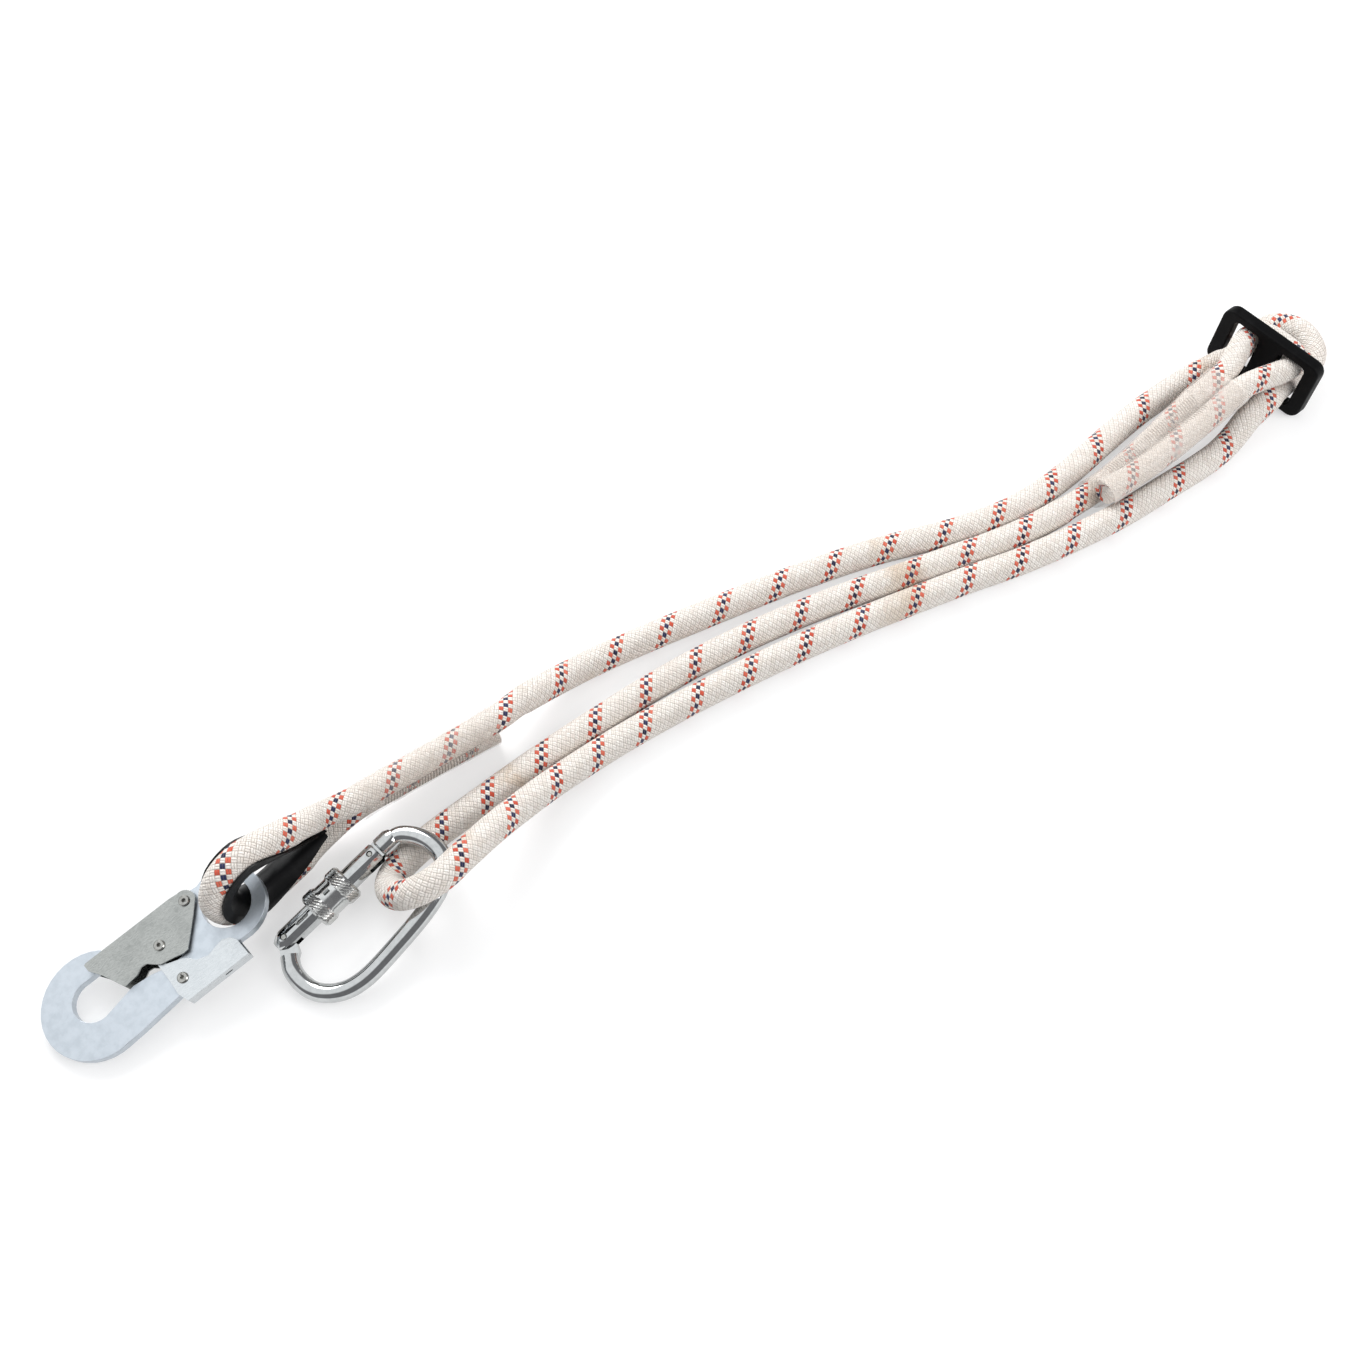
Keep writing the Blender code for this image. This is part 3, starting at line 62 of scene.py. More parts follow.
class Body(Enum):
    """The bodies that pieces ride on."""

    LANYARD = "lanyard"
    HOOK = "hook"
    HOOK_GATE = "hook_gate"
    LOCK_LEVER = "lock_lever"
    CARABINER = "carabiner"
    CARABINER_GATE = "carabiner_gate"
    SCREW_SLEEVE = "screw_sleeve"


class Finish(Enum):
    """The finishes of the lanyard's pieces, each by its material's name."""

    ROPE = "rope_braid"
    CLEAR_FILM = "clear_film"
    HAZY_FILM = "hazy_film"
    THREAD = "shaded_sewing_thread"
    PLATE = "zinc_plate"
    SHEET = "zinc_sheet"
    CHROME = "polished_steel"
    KNURL = "knurled_steel"
    RIVET = "rivet_steel"
    TURNED = "turned_steel"
    LEVER = "zinc_lever"
    THIMBLE = "thimble_nylon"
    SLIDER = "slider_nylon"


def from_srgb(red: int, green: int, blue: int) -> Colour:
    """Turn a colour as seen on a screen into the linear colour a shader takes.

    Args:
        red: Red, 0 to 255.
        green: Green, 0 to 255.
        blue: Blue, 0 to 255.

    Returns:
        The linear colour with full alpha.
    """
    linear = []
    for value in (red, green, blue):
        share = value / 255
        linear.append(share / 12.92 if share <= 0.04045 else ((share + 0.055) / 1.055) ** 2.4)
    return (linear[0], linear[1], linear[2], 1.0)


def pose(origin: Vector, heading: float, pitch: float, roll: float) -> Matrix:
    """Return a frame turned by heading, raised at its +X end, then rolled.

    Args:
        origin: Where the frame stands.
        heading: Turn about +Z.
        pitch: Rise of the +X end.
        roll: Turn about the frame's own X.

    Returns:
        The frame's matrix.
    """
    turn = Matrix.Rotation(heading, 4, "Z")
    turn = turn @ Matrix.Rotation(-pitch, 4, "Y")
    turn = turn @ Matrix.Rotation(roll, 4, "X")
    return Matrix.Translation(origin) @ turn


def on_floor(point: Sequence[float]) -> Vector:
    """Move a laid-out place into the model's frame.

    Args:
        point: The place as it is laid out.

    Returns:
        The place in the model's frame.
    """
    return Vector(point) - LAYOUT_MIDDLE


def ease(share: float) -> float:
    """Return a share from 0 to 1 with soft ends.

    Args:
        share: How far along, clamped to 0 and 1.

    Returns:
        The eased share.
    """
    held = min(max(share, 0.0), 1.0)
    return held * held * (3 - 2 * held)


def catmull(points: Sequence[Vector], position: float) -> Vector:
    """Read a smooth curve through points.

    Args:
        points: The points that the curve passes.
        position: The place on it, counted in points.

    Returns:
        The place.
    """
    last = len(points) - 1
    index = min(int(position), last - 1)
    share = position - index
    before = points[max(index - 1, 0)]
    start = points[index]
    end = points[index + 1]
    after = points[min(index + 2, last)]
    return (start * 2 + (end - before) * share
            + (before * 2 - start * 5 + end * 4 - after) * share ** 2
            + (start * 3 - before - end * 3 + after) * share ** 3) / 2


@dataclass
class Route:
    """A smooth curve through chosen points, read by running length.

    Attributes:
        points: The chosen points.
        fineness: How many steps lie between two of them.
        reach: How far before and after a place its direction is read.
    """

    points: Sequence[Vector]
    fineness: int = 24
    reach: float = 0.0021

    def __post_init__(self) -> None:
        """Measure the curve."""
        steps = (len(self.points) - 1) * self.fineness
        self.track = [catmull(self.points, step / self.fineness) for step in range(steps + 1)]
        self.lengths = [0.0]
        for first, second in zip(self.track, self.track[1:]):
            self.lengths.append(self.lengths[-1] + (second - first).length)

    def length_at(self, index: int) -> float:
        """Return the running length at one of the chosen points.

        Args:
            index: The point's number.

        Returns:
            The length from the start.
        """
        return self.lengths[index * self.fineness]

    def at(self, length: float) -> Vector:
        """Return the place at a running length.

        Args:
            length: The length from the start.

        Returns:
            The place.
        """
        upper = min(max(bisect.bisect_right(self.lengths, length), 1), len(self.lengths) - 1)
        span = self.lengths[upper] - self.lengths[upper - 1]
        share = (length - self.lengths[upper - 1]) / span
        return self.track[upper - 1].lerp(self.track[upper], share)

    def direction(self, length: float) -> Vector:
        """Return the unit tangent at a running length.

        Args:
            length: The length from the start.

        Returns:
            The tangent.
        """
        return (self.at(min(length + self.reach, self.lengths[-1]))
                - self.at(max(length - self.reach, 0.0))).normalized()


def link_piece(name: str, mesh: bpy.types.Mesh, material: bpy.types.Material, body: Body) -> bpy.types.Object:
    """Put a finished mesh in the scene on its body.

    Args:
        name: The piece's name.
        mesh: Its mesh, in the model's frame.
        material: Its material.
        body: The body that it rides on.

    Returns:
        The piece.
    """
    piece = bpy.data.objects.new(name, mesh)
    mesh.materials.clear()
    mesh.materials.append(material)
    bpy.context.scene.collection.objects.link(piece)
    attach(piece, body.value)
    logger.info("made %s with %d faces on %s", name, len(mesh.polygons), body.value)
    return piece


def smooth_mesh(name: str, bm: bmesh.types.BMesh, angle: float) -> bpy.types.Mesh:
    """Turn a bmesh into a mesh shaded smooth below an angle.

    Args:
        name: The mesh's name.
        bm: The shape, freed here.
        angle: The angle in degrees above which an edge stays sharp.

    Returns:
        The mesh.
    """
    bmesh.ops.recalc_face_normals(bm, faces=bm.faces)
    mesh = bpy.data.meshes.new(name)
    bm.to_mesh(mesh)
    bm.free()
    mesh.shade_smooth()
    mesh.set_sharp_from_angle(angle=math.radians(angle))
    return mesh


def add_ring(bm: bmesh.types.BMesh, places: Sequence[Vector]) -> list[bmesh.types.BMEdge]:
    """Close a row of places into a ring of edges.

    Args:
        bm: The shape that takes it.
        places: The ring's places in order.

    Returns:
        The ring's edges.
    """
    verts = [bm.verts.new(place) for place in places]
    return [bm.edges.new((vert, after)) for vert, after in zip(verts, verts[1:] + verts[:1])]


def loft(bm: bmesh.types.BMesh, rings: Sequence[list[bmesh.types.BMEdge]]) -> None:
    """Bridge each ring of edges to the next.

    Args:
        bm: The shape that holds them.
        rings: The rings in order.
    """
    for first, second in zip(rings, rings[1:]):
        bmesh.ops.bridge_loops(bm, edges=first + second)


def join_rings(bm: bmesh.types.BMesh, first: Sequence[bmesh.types.BMVert],
               second: Sequence[bmesh.types.BMVert]) -> None:
    """Join two uneven rings place by place, where a bridge might turn one by a place.

    Args:
        bm: The shape that holds them.
        first: One ring.
        second: The next ring, with as many places.
    """
    for index, vert in enumerate(first):
        after = (index + 1) % len(first)
        bm.faces.new((vert, first[after], second[after], second[index]))


def sweep(bm: bmesh.types.BMesh, path: Sequence[Vector], radius: float, sides: int) -> None:
    """Sweep a round section along places and close its ends.

    Args:
        bm: The shape that takes it.
        path: The places.
        radius: The section's radius.
        sides: The section's sides.
    """
    side = None
    rings = []
    last = len(path) - 1
    for index, place in enumerate(path):
        tangent = (path[min(index + 1, last)] - path[max(index - 1, 0)]).normalized()
        if side is None:
            side = tangent.orthogonal().normalized()
        side = (side - tangent * side.dot(tangent)).normalized()
        turn = Matrix((-tangent.cross(side), side, tangent)).transposed().to_4x4()
        made = bmesh.ops.create_circle(bm, cap_ends=index in (0, last), radius=radius,
                                       segments=sides, matrix=Matrix.Translation(place) @ turn)
        edges = dict.fromkeys(edge for vert in made["verts"] for edge in vert.link_edges)
        rings.append(list(edges))
    loft(bm, rings)


class Graph:
    """Short calls that build one node tree."""

    def __init__(self, tree: bpy.types.NodeTree) -> None:
        """Hold the tree.

        Args:
            tree: The node tree.
        """
        self.tree = tree

    def add(self, kind: str, **settings: object) -> bpy.types.Node:
        """Add a node.

        Args:
            kind: The node's type.
            **settings: Attributes to set on it.

        Returns:
            The node.
        """
        node = self.tree.nodes.new(kind)
        for name, value in settings.items():
            setattr(node, name, value)
        return node

    def feed(self, socket: bpy.types.NodeSocket, value: object) -> None:
        """Link a socket or set its constant.

        Args:
            socket: The input.
            value: Another node's output, or a constant.
        """
        if isinstance(value, bpy.types.NodeSocket):
            self.tree.links.new(value, socket)
        else:
            socket.default_value = value

    def math(self, operation: str, *values: object,
             clamp: bool = False) -> bpy.types.NodeSocket:
        """Add one sum.

        Args:
            operation: The sum's kind.
            *values: Its values in order.
            clamp: Whether the result stays within 0 and 1.

        Returns:
            The result.
        """
        node = self.add("ShaderNodeMath", operation=operation, use_clamp=clamp)
        for socket, value in zip(node.inputs, values):
            self.feed(socket, value)
        return node.outputs[0]

    def mix(self, share: object, first: object, second: object) -> bpy.types.NodeSocket:
        """Mix two colours.

        Args:
            share: How much of the second.
            first: The first colour.
            second: The second colour.

        Returns:
            The mixed colour.
        """
        node = self.add("ShaderNodeMix", data_type="RGBA")
        self.feed(node.inputs["Factor"], share)
        self.feed(node.inputs["A"], first)
        self.feed(node.inputs["B"], second)
        return node.outputs["Result"]

    def remap(self, value: object, low: object, high: object, to_low: float,
              to_high: float) -> bpy.types.NodeSocket:
        """Map one range onto another, held at its ends.

        Args:
            value: What is mapped.
            low: The range's start.
            high: The range's end.
            to_low: What the start becomes.
            to_high: What the end becomes.

        Returns:
            The mapped value.
        """
        node = self.add("ShaderNodeMapRange", interpolation_type="SMOOTHSTEP")
        for index, item in enumerate((value, low, high, to_low, to_high)):
            self.feed(node.inputs[index], item)
        return node.outputs[0]

    def noise(self, vector: object, scale: float, detail: float = 3.0,
              roughness: float = 0.55) -> bpy.types.NodeSocket:
        """Add a noise.

        Args:
            vector: Where it is read.
            scale: Its scale.
            detail: Its octaves.
            roughness: How strong the finer octaves are.

        Returns:
            Its value.
        """
        node = self.add("ShaderNodeTexNoise")
        self.feed(node.inputs["Vector"], vector)
        self.feed(node.inputs["Scale"], scale)
        self.feed(node.inputs["Detail"], detail)
        self.feed(node.inputs["Roughness"], roughness)
        return node.outputs["Fac"]

    def bump(self, height: object, strength: float, distance: float,
             normal: object = None) -> bpy.types.NodeSocket:
        """Add a bump.

        Args:
            height: The height.
            strength: How strong it is.
            distance: The height's reach in metres.
            normal: An earlier bump.

        Returns:
            The bent normal.
        """
        node = self.add("ShaderNodeBump")
        self.feed(node.inputs["Strength"], strength)
        self.feed(node.inputs["Distance"], distance)
        self.feed(node.inputs["Height"], height)
        if normal is not None:
            self.feed(node.inputs["Normal"], normal)
        return node.outputs["Normal"]

    def diffuse(self, tone: float) -> bpy.types.NodeSocket:
        """Add a dull grey surface.

        Args:
            tone: How pale it is.

        Returns:
            Its shader.
        """
        node = self.add("ShaderNodeBsdfDiffuse")
        node.inputs["Color"].default_value = (tone, tone, tone, 1.0)
        return node.outputs[0]

    def glow(self, strength: float) -> bpy.types.NodeSocket:
        """Add a white glow.

        Args:
            strength: How strong it is.

        Returns:
            Its shader.
        """
        node = self.add("ShaderNodeEmission")
        node.inputs["Color"].default_value = WHITE
        node.inputs["Strength"].default_value = strength
        return node.outputs[0]

    def blend(self, share: object, first: object, second: object) -> bpy.types.NodeSocket:
        """Mix two shaders.

        Args:
            share: How much of the second.
            first: The first shader.
            second: The second shader.

        Returns:
            The mixed shader.
        """
        node = self.add("ShaderNodeMixShader")
        for socket, value in zip(node.inputs, (share, first, second)):
            self.feed(socket, value)
        return node.outputs[0]


@dataclass(frozen=True)
class Patch:
    """Soft patches of one kind.

    Attributes:
        scale: Their scale.
        low: The noise value where patches begin.
        high: The noise value where they are full.
    """

    scale: float
    low: float
    high: float


@dataclass(frozen=True)
class RopeLook:
    """How the braided rope looks.

    Attributes:
        bundles: The bundles of each direction round the rope.
        pitch: The length in which a bundle goes once round.
        navy: The number of the dark tracer's bundle.
        orange: The numbers of the bright tracers' bundles.
        yarns: The yarns in a bundle.
        fibres: The finer strands in a bundle.
        white_tones: The darkest and the palest off-white.
        orange_tones: The deepest and the palest orange.
        navy_tones: The deepest and the palest dark blue.
        crevice_shade: The painted shade between the yarns and bundles, where the weave lies low.
        crevice_shade_share: How much of the painted shade shows.
        crevice_shade_range: The weave heights between which the painted shade fades out.
        stain: The colour of its dirt.
        stain_share: How much of it shows.
        soiled: Its faint dirty patches.
        spilt: The patches within a stain.
        stain_places: The running lengths of its stains.
        stain_reach: How far from a stain's middle it begins and stops to fade.
        yarn_power: How square a yarn's crown is, and a bundle's along its length.
        bundle_swell: How much higher a bundle's middle stands, and how high its edges do.
        fibre_height: How high the fibres stand.
        fuzz: The scale of its fuzz.
        fuzz_bump: How strong the fuzz is, and its depth.
        weave_bump: How strong the weave is, and its depth.
        roughness: Its roughness.
        gloss: How strongly it reflects, as a specular level.
        sheen: How strong its sheen is.
        sheen_roughness: How soft its sheen is.
    """

    bundles: int = 12
    pitch: float = 0.036
    navy: int = 5
    orange: tuple[int, int] = (4, 6)
    yarns: int = 2
    fibres: int = 8
    white_tones: tuple[Colour, Colour] = (from_srgb(239, 230, 221), from_srgb(252, 246, 239))
    orange_tones: tuple[Colour, Colour] = (from_srgb(212, 80, 56), from_srgb(228, 116, 92))
    navy_tones: tuple[Colour, Colour] = (from_srgb(28, 32, 60), from_srgb(50, 56, 94))
    # painted shade: the colour laid into the weave's low places between yarns and bundles
    crevice_shade: Colour = from_srgb(150, 135, 121)
    crevice_shade_share: float = 0.60
    crevice_shade_range: Pair = (0.05, 0.60)
    stain: Colour = from_srgb(196, 160, 112)
    stain_share: float = 0.42
    soiled: Patch = Patch(14.0, 0.60, 0.74)
    spilt: Patch = Patch(90.0, 0.35, 0.60)
    stain_places: Sequence[float] = (0.873, 1.735)
    stain_reach: Pair = (0.002, 0.011)
    yarn_power: Pair = (0.6, 0.5)
    bundle_swell: Pair = (0.35, 0.60)
    fibre_height: float = 0.05
    fuzz: float = 1800.0
    fuzz_bump: Pair = (0.12, 0.0002)
    weave_bump: Pair = (0.9, 0.0007)
    roughness: float = 0.82
    gloss: float = 0.25
    sheen: float = 0.18
    sheen_roughness: float = 0.45


@dataclass(frozen=True)
class FilmLook:
    """How one heat-shrink film looks.

    Attributes:
        density: How dense it is where it is clear and where it is scuffed.
        tones: Its colours where it is clear and where it is scuffed.
        roughness: Its roughness where it is clear and where it is scuffed.
        scuffs: Its scuffed patches.
        wrinkles: The scale of its wrinkles.
        wrinkle_bump: How strong they are, and their depth.
        ior: Its index of refraction.
    """

    density: Pair
    tones: tuple[Colour, Colour] = (from_srgb(230, 220, 211), from_srgb(238, 231, 224))
    roughness: Pair = (0.16, 0.34)
    scuffs: Patch = Patch(55.0, 0.40, 0.72)
    wrinkles: float = 160.0
    wrinkle_bump: Pair = (0.35, 0.0004)
    ior: float = 1.46


@dataclass(frozen=True)
class ThreadLook:
    """How the sewing thread looks.

    Attributes:
        tones: Its darkest and its palest colour, greyer than the pale thread so that it also carries painted
            shade of the stitches.
        ply: The scale of its ply.
        ply_bump: How strong the ply is, and its depth.
        roughness: Its roughness.
    """

    # greyed: the pale thread's colour darkened with painted shade of the stitches
    tones: tuple[Colour, Colour] = (from_srgb(142, 132, 124), from_srgb(186, 176, 166))
    ply: float = 2600.0
    ply_bump: Pair = (0.4, 0.00012)
    roughness: float = 0.7


@dataclass(frozen=True)
class MetalLook:
    """How one plated or polished metal looks.

    Attributes:
        colour: Its colour as written for a shader.
        stain: The colour of its duller patches.
        roughness: Its middle roughness.
        spread: How far roughness varies.
        waviness: How far its large faces wave, in metres.
        grain: The stretch of its brushed grain along its own axes.
        dull: Its duller patches.
        specks: Its fine specks.
        grain_range: The grain's noise values that darken it least and most.
        grain_share: How much the grain darkens it.
        patch_share: How much the patches and the specks darken it.
        wave_scale: How close together its waves are.
        grain_bump: How strong its grain is, and its depth.
    """

    colour: Colour
    stain: Colour
    roughness: float
    spread: float
    waviness: float
    grain: Point
    dull: Patch = Patch(70.0, 0.42, 0.70)
    specks: Patch = Patch(620.0, 0.50, 0.80)
    grain_range: Pair = (0.35, 0.70)
    grain_share: float = 0.45
    patch_share: float = 0.25
    wave_scale: float = 42.0
    grain_bump: Pair = (0.08, 0.0002)


@dataclass(frozen=True)
class PlasticLook:
    """How one moulded plastic looks.

    Attributes:
        colour: Its colour.
        worn: The colour of its rubbed places.
        roughness: Its middle roughness.
        grain: The size of its moulded grain, as a noise scale.
        gloss: How strongly it reflects, as a specular level.
        rubbed: Its rubbed patches.
        rubbed_spread: How much rougher they are.
        grain_bump: How strong its grain is, and its depth.
    """

    colour: Colour
    worn: Colour
    roughness: float
    grain: float
    gloss: float
    rubbed: Patch = Patch(48.0, 0.50, 0.78)
    rubbed_spread: float = 0.16
    grain_bump: Pair = (0.22, 0.0002)


FILMS = {
    Finish.CLEAR_FILM: FilmLook((0.08, 0.20)),
    Finish.HAZY_FILM: FilmLook((0.18, 0.34)),
}

METALS = {
    Finish.PLATE: MetalLook(from_srgb(200, 207, 214), from_srgb(180, 188, 195), 0.40, 0.08,
                            0.00003, (60.0, 60.0, 60.0)),
    Finish.SHEET: MetalLook(from_srgb(176, 178, 175), from_srgb(128, 131, 129), 0.30, 0.12,
                            0.0005, (60.0, 700.0, 700.0)),
    Finish.CHROME: MetalLook(from_srgb(196, 198, 198), from_srgb(176, 178, 178), 0.10, 0.05,
                             0.00004, (80.0, 80.0, 80.0)),
    Finish.KNURL: MetalLook(from_srgb(206, 206, 204), from_srgb(176, 177, 175), 0.20, 0.06,
                            0.00004, (80.0, 80.0, 80.0)),
    Finish.RIVET: MetalLook(from_srgb(178, 178, 174), from_srgb(118, 116, 111), 0.28, 0.12,
                            0.00004, (200.0, 200.0, 200.0)),
    Finish.TURNED: MetalLook(from_srgb(205, 206, 205), from_srgb(176, 177, 176), 0.18, 0.08,
                             0.00003, (80.0, 80.0, 80.0)),
    Finish.LEVER: MetalLook(from_srgb(212, 216, 218), from_srgb(188, 193, 196), 0.30, 0.10,
                            0.0003, (60.0, 400.0, 400.0)),
}

PLASTICS = {
    Finish.THIMBLE: PlasticLook(from_srgb(13, 13, 14), from_srgb(38, 38, 39), 0.34, 900.0, 0.2),
    Finish.SLIDER: PlasticLook(from_srgb(9, 9, 10), from_srgb(24, 24, 25), 0.46, 1400.0, 0.08),
}


class Finishes:
    """Every material of the lanyard, built on shared node groups."""

    def __init__(self) -> None:
        """Make every material."""
        self.mottle = self.make_mottle()
        look = RopeLook()
        self.materials = {Finish.ROPE: self.make_rope(look, self.make_braid(look))}
        for finish, film in FILMS.items():
            self.materials[finish] = self.make_film(finish, film)
        self.materials[Finish.THREAD] = self.make_thread(ThreadLook())
        for finish, metal in METALS.items():
            self.materials[finish] = self.make_metal(finish, metal)
        for finish, plastic in PLASTICS.items():
            self.materials[finish] = self.make_plastic(finish, plastic)

    def __getitem__(self, finish: Finish) -> bpy.types.Material:
        """Return the material of a finish."""
        return self.materials[finish]

    @staticmethod
    def open_material(finish: Finish) -> tuple[bpy.types.Material, Graph, bpy.types.Node]:
        """Start a material.

        Args:
            finish: Its finish.

        Returns:
            The material, its graph and its Principled shader.
        """
        material = bpy.data.materials.new(finish.value)
        material.use_nodes = True
        logger.info("made material %s", material.name)
        return material, Graph(material.node_tree), material.node_tree.nodes["Principled BSDF"]

    @staticmethod
    def open_group(name: str, inputs: Sequence[str], outputs: Sequence[str]
                   ) -> tuple[Graph, bpy.types.Node, bpy.types.Node]:
        """Start a node group of single values.

        Args:
            name: Its name.
            inputs: Each input's name.
            outputs: Each output's name.

        Returns:
            The group's graph, its input node and its output node.
        """
        tree = bpy.data.node_groups.new(name, "ShaderNodeTree")
        for label in inputs:
            tree.interface.new_socket(name=label, in_out="INPUT", socket_type="NodeSocketFloat")
        for label in outputs:
            tree.interface.new_socket(name=label, in_out="OUTPUT", socket_type="NodeSocketFloat")
        graph = Graph(tree)
        return graph, graph.add("NodeGroupInput"), graph.add("NodeGroupOutput")

    def make_mottle(self) -> bpy.types.NodeTree:
        """Make the group of soft patches that every finish shares.

        Returns:
            The group's tree.
        """
        graph, source, sink = self.open_group("mottle", ("Scale", "Low", "High"), ("Share",))
        place = graph.add("ShaderNodeTexCoord").outputs["Object"]
        fine = graph.noise(place, source.outputs["Scale"], 5.0, 0.62)
        share = graph.remap(fine, source.outputs["Low"], source.outputs["High"], 0.0, 1.0)
        graph.feed(sink.inputs["Share"], share)
        return graph.tree

    def patches(self, graph: Graph, patch: Patch) -> bpy.types.NodeSocket:
        """Read the shared patches in a material.

        Args:
            graph: The material's graph.
            patch: The kind of patches.

        Returns:
            The patches' share.
        """
        node = graph.add("ShaderNodeGroup", node_tree=self.mottle)
        graph.feed(node.inputs["Scale"], patch.scale)
        graph.feed(node.inputs["Low"], patch.low)
        graph.feed(node.inputs["High"], patch.high)
        return node.outputs["Share"]

    def make_braid(self, look: RopeLook) -> bpy.types.NodeTree:
        """Make the braided sheath's group from the rope's own route coordinates.

        Args:
            look: How the rope looks.

        Returns:
            The group's tree.
        """
        graph, _, sink = self.open_group(
            "braid", (), ("Orange", "Navy", "Height", "CreviceShade", "Cell"))
        bundles = float(look.bundles)
        route = graph.add("ShaderNodeUVMap", uv_map="route").outputs["UV"]
        split = graph.add("ShaderNodeSeparateXYZ")
        graph.feed(split.inputs[0], route)
        turns = graph.math("MULTIPLY", split.outputs["X"], look.bundles / look.pitch)
        around = graph.math("MULTIPLY", split.outputs["Y"], bundles)
        right = graph.math("SUBTRACT", around, turns)
        left = graph.math("ADD", around, turns)
        right_part = graph.math("FRACT", right)
        left_part = graph.math("FRACT", left)
        right_number = graph.math("FLOOR", right)
        left_number = graph.math("FLOOR", left)
        parity = graph.math("FLOORED_MODULO", graph.math("ADD", right_number, left_number), 2.0)
        under = graph.math("GREATER_THAN", parity, 0.5)
        over = graph.math("SUBTRACT", 1.0, under)
        across = self.choose(graph, under, left_part, right_part)
        along = self.choose(graph, under, right_part, left_part)
        height = self.weave_height(graph, look, across, along)
        number = graph.math("FLOORED_MODULO", left_number, bundles)
        navy = self.is_number(graph, number, look.navy)
        orange = graph.math("ADD", *(self.is_number(graph, number, bundle)
                                     for bundle in look.orange))
        graph.feed(sink.inputs["Orange"], graph.math("MULTIPLY", orange, over, clamp=True))
        graph.feed(sink.inputs["Navy"], graph.math("MULTIPLY", navy, over, clamp=True))
        graph.feed(sink.inputs["Height"], height)
        # painted shade mask: 1 where the weave lies low, 0 on its crowns
        graph.feed(sink.inputs["CreviceShade"], graph.remap(height, *look.crevice_shade_range, 1.0, 0.0))
        turn = graph.math("FLOOR", graph.math("MULTIPLY", split.outputs["X"], 1 / look.pitch))
        cell = graph.add("ShaderNodeCombineXYZ")
        graph.feed(cell.inputs[0], graph.math("FLOORED_MODULO", right_number, bundles))
        graph.feed(cell.inputs[1], number)
        graph.feed(cell.inputs[2], turn)
        chance = graph.add("ShaderNodeTexWhiteNoise", noise_dimensions="3D")
        graph.feed(chance.inputs["Vector"], cell.outputs[0])
        graph.feed(sink.inputs["Cell"], chance.outputs["Value"])
        return graph.tree

    def weave_height(self, graph: Graph, look: RopeLook, across: bpy.types.NodeSocket,
                     along: bpy.types.NodeSocket) -> bpy.types.NodeSocket:
        """Return how high the weave stands: rounded bundles of yarns of fibres.

        Args:
            graph: The tree's graph.
            look: How the rope looks.
            across: The place across the bundle on top, 0 to 1.
            along: The place along it, 0 to 1.

        Returns:
            The height.
        """
        bundle = self.dome(graph, across)
        crown = self.dome(graph, along)
        yarns = self.dome(graph, graph.math(
            "FRACT", graph.math("MULTIPLY", across, float(look.yarns))))
        fibres = self.dome(graph, graph.math(
            "FRACT", graph.math("MULTIPLY", across, float(look.fibres))))
        dash = graph.math("MULTIPLY", graph.math("POWER", yarns, look.yarn_power[0]),
                          graph.math("POWER", crown, look.yarn_power[1]))
        swell = graph.math("ADD", graph.math("MULTIPLY", bundle, look.bundle_swell[0]),
                           look.bundle_swell[1])
        return graph.math("ADD", graph.math("MULTIPLY", dash, swell),
                          graph.math("MULTIPLY", fibres, look.fibre_height))

    @staticmethod
    def is_number(graph: Graph, value: object, number: int) -> bpy.types.NodeSocket:
        """Return 1 where a whole value is a number and 0 elsewhere.

        Args:
            graph: The tree's graph.
            value: The whole value.
            number: The number.

        Returns:
            1 or 0.
        """
        reach = 0.4
        return graph.math("COMPARE", value, float(number), reach)

    @staticmethod
    def choose(graph: Graph, share: bpy.types.NodeSocket, first: object,
               second: object) -> bpy.types.NodeSocket:
        """Pick the first value where the share is 0 and the second where it is 1.

        Args:
            graph: The tree's graph.
            share: 0 or 1.
            first: The first value.
            second: The second value.

        Returns:
            The picked value.
        """
        node = graph.add("ShaderNodeMix", data_type="FLOAT")
        graph.feed(node.inputs["Factor"], share)
        graph.feed(node.inputs["A"], first)
        graph.feed(node.inputs["B"], second)
        return node.outputs["Result"]

    @staticmethod
    def dome(graph: Graph, part: object) -> bpy.types.NodeSocket:
        """Return a round hump over a part that runs from 0 to 1.

        Args:
            graph: The tree's graph.
            part: The running part.

        Returns:
            The hump's height, 0 at both ends and 1 in the middle.
        """
        offset = graph.math("SUBTRACT", graph.math("MULTIPLY", part, 2.0), 1.0)
        return graph.math("SUBTRACT", 1.0, graph.math("MULTIPLY", offset, offset))

